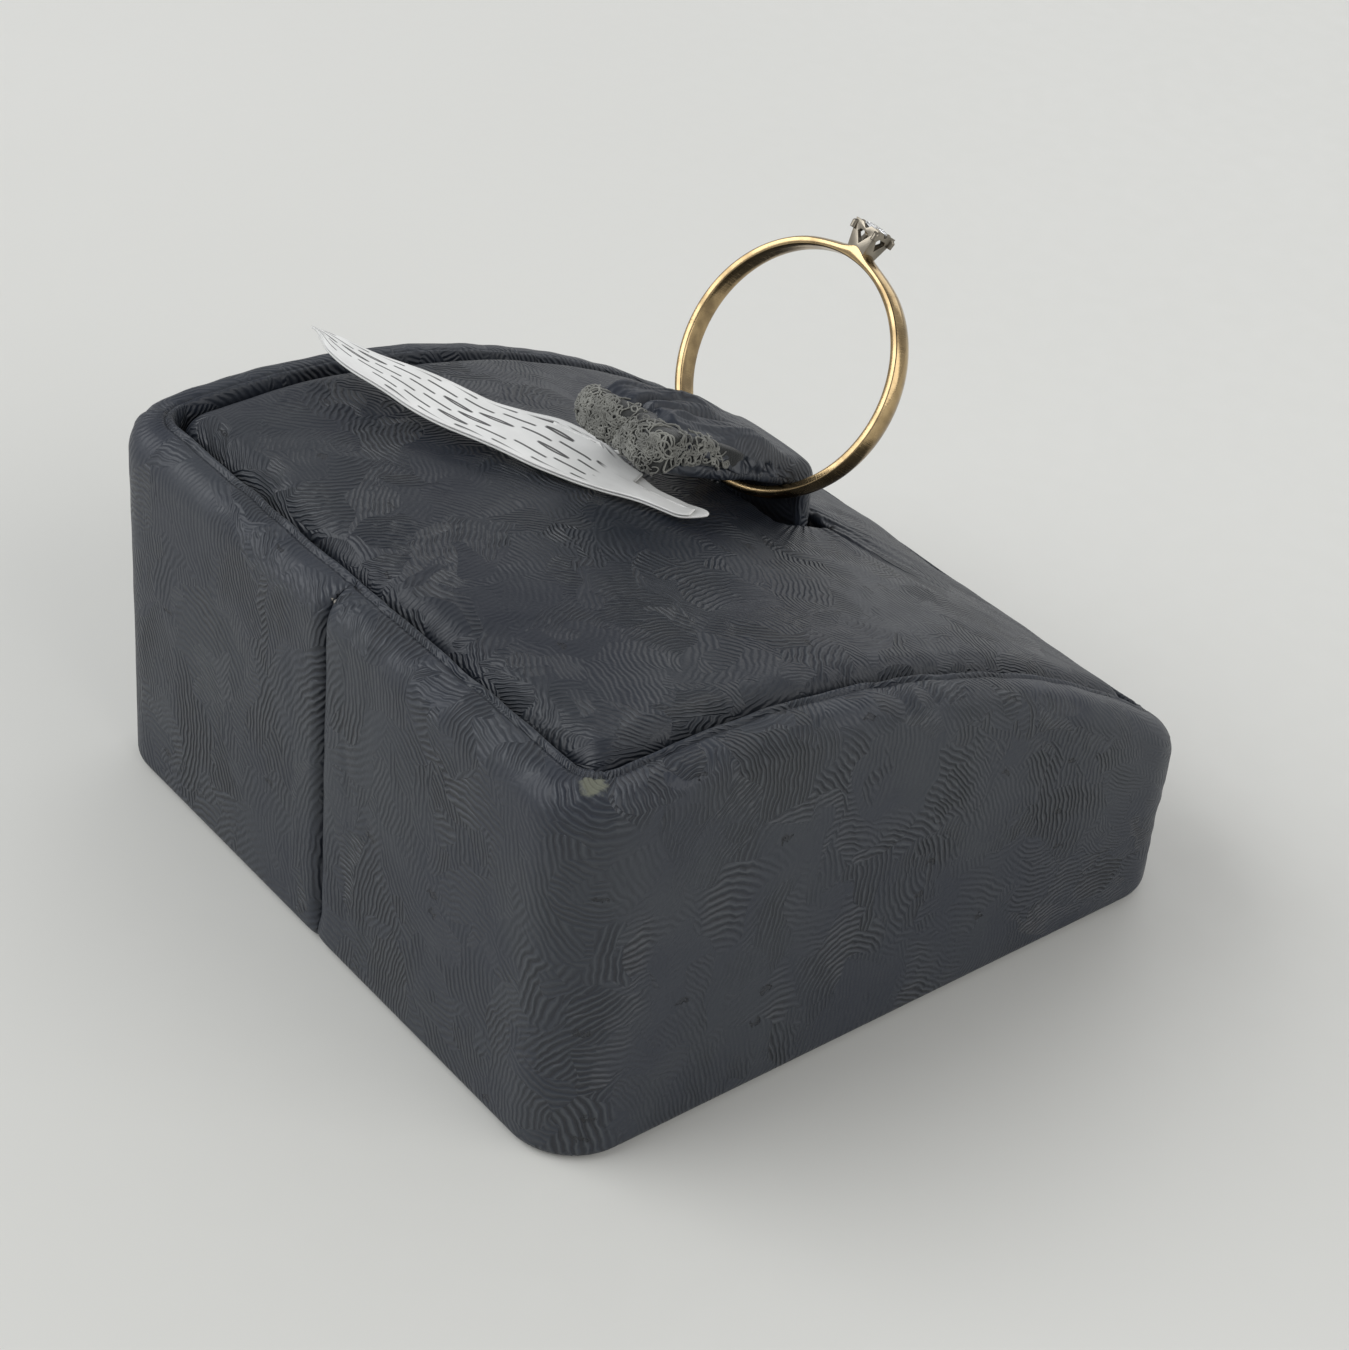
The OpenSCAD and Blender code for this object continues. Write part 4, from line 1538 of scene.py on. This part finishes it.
@dataclass
class RingFrame:
    """Where the ring stands and which ways it faces."""

    lean: float = 32.0
    yaw: float = 5.0
    head_turn: float = 6.0
    bore: float = 8.4
    thick: float = 0.75
    wide: float = 1.6
    centre: Array = field(init=False)

    def __post_init__(self) -> None:
        """Reads the ring's middle and sets its directions."""
        low, high = node_box("ring_shank")
        self.centre = (low + high) / 2
        lean, yaw = math.radians(self.lean), math.radians(self.yaw)
        cos_yaw, sin_yaw = math.cos(yaw), math.sin(yaw)
        self.axis = np.array((-sin_yaw * math.cos(lean), cos_yaw * math.cos(lean), math.sin(lean)))
        self.up = np.array((sin_yaw * math.sin(lean), -cos_yaw * math.sin(lean), math.cos(lean)))
        self.side = np.array((cos_yaw, sin_yaw, 0.0))

    def radial(self, degrees: Array) -> Array:
        """Directions out from the middle, measured from the ring's top towards its far side."""
        turn = np.radians(np.asarray(degrees))[..., None]
        return np.cos(turn) * self.up + np.sin(turn) * self.side

    def head(self) -> Matrix:
        """The head's placement: Z out from the middle, Y along the finger hole."""
        out = self.radial(np.array(-self.head_turn))
        across = np.cross(self.axis, out)
        made = Matrix.Identity(4)
        for column, direction in enumerate((across, self.axis, out)):
            for row in range(3):
                made[row][column] = float(direction[row])
        made.translation = Vector(self.centre)
        return Matrix.Scale(MM, 4) @ made @ Matrix.Scale(1 / MM, 4)


@dataclass
class Ring:
    """The solitaire: shank, collet and stone."""

    frame: RingFrame
    head_wide: float = 2.2
    head_high: float = 1.85
    claw_sides: int = 14
    seat_drop: float = 0.12
    shank_points: int = 360
    gold: PreciousMetal = PreciousMetal()
    pale: PreciousMetal = PreciousMetal("white_gold", rgb(0.32, 0.285, 0.23), rgb(0.11, 0.10, 0.08), 0.28)

    def section(self, thick: Array, wide: Array) -> Array:
        """The shank's section at each place, bore side flat and outside crowned.

        Args:
            thick: thickness at each place.
            wide: width at each place.

        Returns:
            Places by points by 2, outwards and along the finger hole.
        """
        across = np.sin(np.linspace(-1, 1, 17) * math.pi / 2)
        crown = 0.26 * (1 - across ** 2)
        outer = np.stack([crown - 0.26, across * 0.5], axis=1)
        rows = []
        for t, w in zip(thick, wide):
            face = np.stack([t + outer[:, 0] * 0.75, outer[:, 1] * (w - 0.08)], axis=1)
            inner = np.array(((0.09, w / 2), (0.03, w / 2 - 0.05), (0.0, w / 2 - 0.13), (0.0, w / 6),
                              (0.0, -w / 6), (0.0, 0.13 - w / 2), (0.03, 0.05 - w / 2), (0.09, -w / 2)))
            side = np.array(((t - 0.28, w / 2), (t * 0.45, w / 2)))
            other = np.array(((t * 0.45, -w / 2), (t - 0.28, -w / 2)))
            rows.append(np.concatenate([face, side, inner, other]))
        return np.array(rows)

    def build_shank(self) -> None:
        """The band, flared into the head."""
        turn = np.linspace(0, 360, self.shank_points, endpoint=False)
        away = np.abs((turn + self.frame.head_turn + 180) % 360 - 180)
        flare = 0.42 * np.exp(-((away / 5.2) ** 2))
        thin = 0.07 * np.exp(-(((away - 17) / 9) ** 2))
        thick = self.frame.thick - thin + flare
        wide = self.frame.wide - 0.14 * np.exp(-(((away - 12) / 12) ** 2)) + 0.1 * np.exp(-((away / 4) ** 2))
        out = self.frame.radial(turn)
        path = self.frame.centre + out * self.frame.bore
        grid = sweep(path, out, np.tile(self.frame.axis, (len(turn), 1)), self.section(thick, wide))
        shank = tube_of_grid("shank", grid, closed_rows=True)
        settle_in(shank, self.gold, Body.RING, "ring_shank")

    def block(self, name: str, foot: float, top: float, low: float, high: float) -> bpy.types.Object:
        """A square tapered block in the head's frame, for cutting and building."""
        corners = [(sx * half, sy * half, z) for half, z in ((foot / 2, low), (top / 2, high))
                   for sx, sy in ((-1, -1), (1, -1), (1, 1), (-1, 1))]
        faces = [(0, 3, 2, 1), (4, 5, 6, 7), (0, 1, 5, 4), (1, 2, 6, 5), (2, 3, 7, 6), (3, 0, 4, 7)]
        return piece_from(name, np.array(corners), faces)

    def prism(self, name: str, corners: Sequence[tuple[float, float]], reach: float,
              turn: float) -> bpy.types.Object:
        """A flat shape carried through the head from side to side.

        Args:
            name: the piece's name.
            corners: places across and outwards.
            reach: half of its length.
            turn: turn about the head's own axis in degrees.

        Returns:
            The prism.
        """
        count = len(corners)
        points = np.array([(x, y, z) for y in (-reach, reach) for x, z in corners])
        c, s = math.cos(math.radians(turn)), math.sin(math.radians(turn))
        points = points @ np.array(((c, s, 0), (-s, c, 0), (0, 0, 1)))
        faces = [tuple(range(count))[::-1], tuple(range(count, 2 * count))]
        faces += [(i, (i + 1) % count, (i + 1) % count + count, i + count) for i in range(count)]
        return piece_from(name, points, faces)

    def build_collet(self) -> None:
        """The square basket with its pointed windows and four claws."""
        base = self.frame.bore + self.frame.thick
        low, high = base - self.seat_drop, base + self.head_high
        outer = self.block("collet", 1.5, self.head_wide, low, high)
        cuts = [self.block("cut_inside", 0.7, 1.75, base + 0.45, high + 0.2)]
        window = [(0.0, base + 0.42), (0.50, base + 1.12), (0.34, base + 1.34), (-0.34, base + 1.34),
                  (-0.50, base + 1.12)]
        notch = [(0.0, base + 1.52), (0.55, high + 0.15), (-0.55, high + 0.15)]
        for turn in (0, 90):
            cuts.append(self.prism(f"cut_window_{turn}", window, 2.0, turn))
            cuts.append(self.prism(f"cut_notch_{turn}", notch, 2.0, turn))
        self.carve(outer, cuts)
        self.soften(outer, 0.07)
        claws = [self.claw(sx, sy, high) for sx in (-1, 1) for sy in (-1, 1)]
        outer.data.transform(self.frame.head())
        settle_in(outer, self.pale, Body.RING, "ring_collet")
        for index, claw in enumerate(claws):
            claw.name = f"claw_{index}"
            claw.data.transform(self.frame.head())
            settle_in(claw, self.pale, Body.RING, "ring_collet")

    def claw(self, sx: int, sy: int, high: float) -> bpy.types.Object:
        """One claw: a tapered post at a corner, bent in over the stone with a rounded tip."""
        rows = self.claw_sides
        share = np.linspace(0, 1, rows)
        half = self.head_wide / 2
        reach = half - 0.10 + 0.05 * share - 0.36 * smooth_step(0.55, 1.0, share)
        z = high - 0.75 + 0.83 * share
        thick = 0.20 * np.sqrt(np.clip(1 - smooth_step(0.78, 1.04, share) ** 1.5, 0.02, 1)) + 0.02
        path = np.stack([sx * reach, sy * reach, z], axis=1)
        side, up = np.tile((1.0, 0, 0), (rows, 1)), np.tile((0, 1.0, 0), (rows, 1))
        return tube_of_grid("claw", sweep(path, side, up, round_section(self.claw_sides, thick)))

    def carve(self, piece: bpy.types.Object, cuts: Sequence[bpy.types.Object]) -> None:
        """Takes the cutting pieces out of a piece and removes them."""
        for cut in cuts:
            made = piece.modifiers.new(cut.name, "BOOLEAN")
            made.operation, made.object, made.solver = "DIFFERENCE", cut, "EXACT"
        self.settle(piece)
        for cut in cuts:
            bpy.data.objects.remove(cut)

    def soften(self, piece: bpy.types.Object, width: float) -> None:
        """Rounds a piece's sharp edges."""
        made = piece.modifiers.new("edges", "BEVEL")
        made.width, made.segments = width * MM, 3
        made.limit_method, made.angle_limit = "ANGLE", math.radians(30)
        self.settle(piece)

    def settle(self, piece: bpy.types.Object) -> None:
        """Turns a piece's modifiers into its mesh."""
        bpy.context.view_layer.update()
        mesh = bpy.data.meshes.new_from_object(piece.evaluated_get(bpy.context.evaluated_depsgraph_get()))
        piece.modifiers.clear()
        piece.data = mesh

    def build_stone(self) -> None:
        """The brilliant with its table, crown, girdle and pavilion."""
        seat = self.frame.bore + self.frame.thick + self.head_high
        radius = self.head_wide * 0.44
        eight, sixteen = np.arange(8) / 8 * 2 * math.pi, np.arange(16) / 16 * 2 * math.pi
        rings = ((0.56, 0.16, eight + math.pi / 8), (0.80, 0.08, eight), (1.0, -0.04, sixteen),
                 (1.0, -0.09, sixteen), (0.45, -0.50, eight + math.pi / 8), (0.03, -0.85, eight))
        points = [(scale * radius * math.cos(a), scale * radius * math.sin(a), seat + z * radius)
                  for scale, z, turns in rings for a in turns]
        mesh = bmesh.new()
        for point in points:
            mesh.verts.new(Vector(point) * MM)
        bmesh.ops.convex_hull(mesh, input=mesh.verts)
        made = bpy.data.meshes.new("stone")
        mesh.to_mesh(made)
        mesh.free()
        made.transform(self.frame.head())
        stone = bpy.data.objects.new("stone", made)
        bpy.context.collection.objects.link(stone)
        settle_in(stone, Gem(), Body.RING, "ring_stone")

    def build(self) -> None:
        """Makes and dresses the ring."""
        self.build_shank()
        self.build_collet()
        self.build_stone()


# ---------------------------------------------------------------- tag


@dataclass
class Tag:
    """The folded paper tag: a printed leaf, a plain one under it and a loop round the shank."""

    frame: RingFrame
    plan: ArchedPlan
    length: float = 28.0
    root: tuple[float, float] = (-3.0, 0.2)
    root_lift: float = 1.1
    yaw: float = 25.0
    pitch: float = 6.0
    roll: tuple[float, float] = (0.0, 8.0)
    paper: float = 0.13
    gap: float = 0.10
    loop_turn: float = 24.0
    loop_wide: float = 1.2
    loop_clear: float = 0.32
    loop_corner: float = 0.3
    leaf_flat: float = 6.4
    leaf_rows: int = 130
    leaf_cols: int = 40
    near_edge: Curve = Curve((-0.055, -0.045, -0.03, 0.0, 0.1, 0.2, 0.3, 0.4, 0.6, 0.7, 0.8, 0.9, 1.0, 1.09),
                             (1.15, 1.48, 1.75, 2.0, 2.2, 2.8, 3.2, 3.6, 3.7, 3.5, 2.8, 1.9, 0.6, -1.1))
    far_edge: Curve = Curve(
        (-0.055, -0.045, 0.01, 0.085, 0.15, 0.2, 0.25, 0.3, 0.4, 0.5, 0.6, 0.8, 1.0, 1.09),
        (-0.8, -0.55, -0.1, 0.0, 0.7, 1.2, 1.9, 2.5, 2.7, 2.1, 1.6, 1.6, 1.6, 1.2))

    def point(self, s: Array, w: Array, lift: Array) -> Array:
        """A place on the tag.

        Args:
            s: share of the way along it.
            w: millimetres across it, towards the block's back.
            lift: millimetres above its middle surface.

        Returns:
            Points in millimetres.
        """
        cos_yaw, sin_yaw = math.cos(math.radians(self.yaw)), math.sin(math.radians(self.yaw))
        turn = np.radians(self.roll[0] + (self.roll[1] - self.roll[0]) * np.clip(s, 0, None) ** 1.4)
        base = self.plan.pad(np.array(self.root[1])) + self.root_lift
        along = s * self.length
        across_sag = 0.016 * (w - 0.6) ** 2 * smooth_step(0.05, 0.4, s) - 0.12
        curl = 0.5 * smooth_step(0.02, -0.06, s)
        rise = lift + across_sag + curl + Ripple(71, 9.0, 0.06).at(s * self.length, w)
        cos_turn, sin_turn = np.cos(turn), np.sin(turn)
        x = self.root[0] + along * cos_yaw - w * sin_yaw * cos_turn + rise * sin_yaw * sin_turn
        y = self.root[1] + along * sin_yaw + w * cos_yaw * cos_turn - rise * cos_yaw * sin_turn
        z = base + along * math.tan(math.radians(self.pitch)) + w * sin_turn + rise * cos_turn
        return np.stack([x, y, z], axis=-1)

    def leaf(self, name: str, begin: float, end: float, low: float, trims: tuple[float, float],
             root_step: float, finish: TagPaper) -> bpy.types.Object:
        """One leaf of the tag.

        Args:
            name: the piece's name.
            begin: share of the length where it starts.
            end: share where it ends.
            low: height of its lower face.
            trims: how much narrower it is than the outline on each side.
            root_step: how far further on the far half of its root starts.
            finish: its paper.

        Returns:
            The leaf.
        """
        s = np.linspace(begin, end, self.leaf_rows)[:, None]
        share = np.linspace(0, 1, self.leaf_cols)[None]
        s = s + root_step * smooth_step(0.50, 0.42, share) * (1 - smooth_step(begin, begin + 0.35, s))
        near, far = self.near_edge.at(s) - trims[0], self.far_edge.at(s) - trims[1]
        w = -far + (near + far) * share
        lift = np.broadcast_to(low, w.shape)
        lower = self.point(s, w, lift)
        upper = self.point(s, w, lift + self.paper)
        flat = np.stack(np.broadcast_arrays(s * self.length, (share - 0.5) * self.leaf_flat), axis=2)
        leaf = thick_sheet(name, upper, lower, flat)
        dress(leaf, finish)
        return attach(leaf, Body.TAG.value)

    def build_tail(self) -> None:
        """The loop of the tag's narrow tail round the shank and the strip under the leaves."""
        turn = math.radians(self.loop_turn)
        out = math.sin(turn) * self.frame.side - math.cos(turn) * self.frame.up
        along = math.cos(turn) * self.frame.side + math.sin(turn) * self.frame.up
        axis = self.frame.axis
        half_shank = self.frame.thick / 2
        middle = self.frame.centre + (self.frame.bore + half_shank) * out
        half_a, half_r = self.frame.wide / 2 + self.loop_clear, half_shank + self.loop_clear
        loop, normals = rounded_loop((0, 0), (half_a, half_r), self.loop_corner, 10, 8)
        faces = []
        for offset in (0.0, self.paper):
            ring = loop + normals * offset
            faces.append(middle + ring[:, :1] * axis + ring[:, 1:] * out)
        cols = np.linspace(-self.loop_wide / 2, self.loop_wide / 2, 9)
        inner = np.array([faces[0] + c * along for c in cols])
        outer = np.array([faces[1] + c * along for c in cols])
        band = thick_sheet("tag_loop", outer, inner, closed_cols=True)
        settle_in(band, TagPaper(), Body.TAG, "tag_tail")
        start = middle + (half_a + self.paper) * axis + 0.25 * out
        self.strip(start, along)

    def strip(self, start: Array, along: Array) -> None:
        """The narrow strip from the loop to the leaves."""
        low = np.array(-self.gap - 1.5 * self.paper)
        end, under = (self.point(np.array(s), np.array(-1.9), low) for s in (0.28, 0.42))
        share = np.linspace(0, 1, 30)[:, None]
        knee = np.array((start[0] - 0.2, start[1] + 3.0, float(self.plan.pad(start[1] + 3.0)) + 0.35))
        control = start * (1 - share) ** 2 + 2 * knee * share * (1 - share) + end * share ** 2
        path = np.concatenate([control, end + (under - end) * np.linspace(0.1, 1, 12)[:, None]])
        travel = unit(np.gradient(path, axis=0))
        blend = smooth_step(0.0, 0.8, np.linspace(0, 1.4, len(path)))[:, None]
        yaw = math.radians(self.yaw)
        leaf_side = np.array((math.cos(yaw), math.sin(yaw), 0.0))
        side = along * (1 - blend) + leaf_side * blend
        side = unit(side - (side * travel).sum(1, keepdims=True) * travel)
        up = np.cross(travel, side)
        up *= np.sign(up[:, 2:].sum() or 1)
        width = self.loop_wide / 2
        places = np.linspace(-width, width, 9)
        upper = path[:, None] + places[None, :, None] * side[:, None] + self.paper * up[:, None]
        lower = path[:, None] + places[None, :, None] * side[:, None]
        tail = thick_sheet("tag_strip", upper, lower)
        settle_in(tail, TagPaper(), Body.TAG, "tag_tail")

    def build(self) -> None:
        """Makes and dresses the tag."""
        upper = self.leaf("tag_upper_leaf", -0.02, 1.088, self.gap / 2, (0.0, 0.0), 0.17,
                          TagPaper("tag_paper_printed", printed=True))
        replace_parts(upper, "tag_leaf")
        lower = self.leaf("tag_lower_leaf", -0.054, 1.06, -self.gap / 2 - self.paper, (0.05, 0.08), 0.0,
                          TagPaper())
        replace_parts(lower, "tag_backing")
        self.build_tail()


# ---------------------------------------------------------------- studio


@dataclass(frozen=True)
class Floor(Finish):
    """Plain pale table top."""

    name: str = "pale_floor"
    shade: Colour = rgb(0.680, 0.677, 0.640)
    colour: Colour = rgb(0.715, 0.711, 0.678)

    def fill(self, graph: Graph, shader: bpy.types.Node) -> None:
        """Feeds a nearly even pale grey."""
        solid = self.solid_place(graph)
        grain = GROUPS.place(graph, "fine_grain", {"Place": solid, "Fine": 0.4, "Broad": 0.01})
        graph.put(shader.inputs["Base Color"], graph.mix(grain.outputs["Cloud"], self.shade, self.colour))
        graph.put(shader.inputs["Roughness"], graph.ramp(grain.outputs["Grain"], 0.3, 0.7, 0.5, 0.6))


@dataclass
class Softbox:
    """A large soft light and where it stands from the object's middle."""

    name: str
    azimuth: float
    elevation: float
    distance: float
    size: tuple[float, float]
    power: float
    tint: Colour = rgb(1.0, 1.0, 1.0)

    def place(self, aim: Vector) -> None:
        """Adds the light, pointed at the object."""
        lamp = bpy.data.lights.new(self.name, "AREA")
        lamp.shape, lamp.size, lamp.size_y = "RECTANGLE", self.size[0], self.size[1]
        lamp.energy, lamp.color = self.power, self.tint[:3]
        way = bearing(self.azimuth, self.elevation)
        stand = bpy.data.objects.new(self.name, lamp)
        stand.location = aim + way * self.distance
        stand.rotation_euler = way.to_track_quat("Z", "Y").to_euler()
        bpy.context.collection.objects.link(stand)


@dataclass
class Studio:
    """Floor, lights, world and camera."""

    floor_half: float = 2500.0
    lights: tuple[Softbox, ...] = (
        Softbox("window", 146.0, 40.0, 0.9, (0.9, 0.7), 5.9, rgb(0.97, 0.985, 1.0)),
        Softbox("far_window", 22.0, 24.0, 0.9, (0.8, 0.45), 1.2, rgb(0.98, 0.99, 1.0)),
        Softbox("room_fill", 286.0, 26.0, 1.0, (1.0, 0.8), 4.4, rgb(1.0, 0.99, 0.97)),
    )
    card_elevation: float = 72.0
    card_distance: float = 620.0
    card_half: float = 230.0
    world: tuple[float, float, float] = (0.80, 0.81, 0.83)
    world_strength: float = 0.60
    azimuth: float = 228.434
    elevation: float = 34.235
    tilt: float = 5.799
    distance: float = 193.396
    shift: tuple[float, float] = (1.6038, -0.9828)
    aim: tuple[float, float, float] = (0.0, 0.0, 12.96)
    lens: float = 74.33
    sensor: float = 36.0
    clip_near: float = 0.01

    def build(self) -> None:
        """Sets up everything round the object."""
        floor = square("table_top", self.floor_half)
        floor.data.materials.append(Floor().material())
        self.dark_card()
        for light in self.lights:
            light.place(Vector(self.aim) * MM)
        world = bpy.data.worlds.new("room")
        world.use_nodes = True
        back = world.node_tree.nodes["Background"]
        back.inputs["Color"].default_value = (*self.world, 1.0)
        back.inputs["Strength"].default_value = self.world_strength
        bpy.context.scene.world = world
        bpy.context.scene.view_settings.view_transform = "Standard"
        self.camera()

    def dark_card(self) -> None:
        """Hangs a dark card above and behind the camera, which the rims and the metal reflect."""
        way = bearing(self.azimuth, self.card_elevation)
        card = square("dark_card", self.card_half)
        facing = way.to_track_quat("Z", "Y").to_matrix().to_4x4()
        card.matrix_world = Matrix.Translation(way * self.card_distance * MM) @ facing
        finish = Board("dark_card", rgb(0.03, 0.03, 0.035), rgb(0.02, 0.02, 0.025), 0.1, 0.1)
        card.data.materials.append(finish.material())

    def camera(self) -> None:
        """Adds the camera."""
        tilt = math.radians(self.tilt)
        back = bearing(self.azimuth, self.elevation)
        right = (-back).cross(Vector((0, 0, 1))).normalized()
        up = right.cross(-back)
        side = right * math.cos(tilt) + up * math.sin(tilt)
        top = up * math.cos(tilt) - right * math.sin(tilt)
        eye = Vector(self.aim) + back * self.distance + side * self.shift[0] + top * self.shift[1]
        lens = bpy.data.cameras.new("camera")
        lens.lens, lens.sensor_width, lens.clip_start = self.lens, self.sensor, self.clip_near
        camera = bpy.data.objects.new("camera", lens)
        turned = Matrix((side, top, back)).transposed().to_4x4()
        camera.matrix_world = Matrix.Translation(eye * MM) @ turned
        bpy.context.collection.objects.link(camera)
        bpy.context.scene.camera = camera


# ---------------------------------------------------------------- main


def main() -> None:
    """Builds the whole object and its studio."""
    logging.basicConfig(level=logging.INFO, format="%(message)s")
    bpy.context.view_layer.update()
    plan = ArchedPlan()
    Sides(plan).build()
    Deck(plan).build()
    Carcass().build(frame["nodes"])
    Clip(TongueFrame(plan)).build()
    ring = RingFrame()
    Ring(ring).build()
    Tag(ring, plan).build()
    Studio().build()


if __name__ == "__main__":
    main()
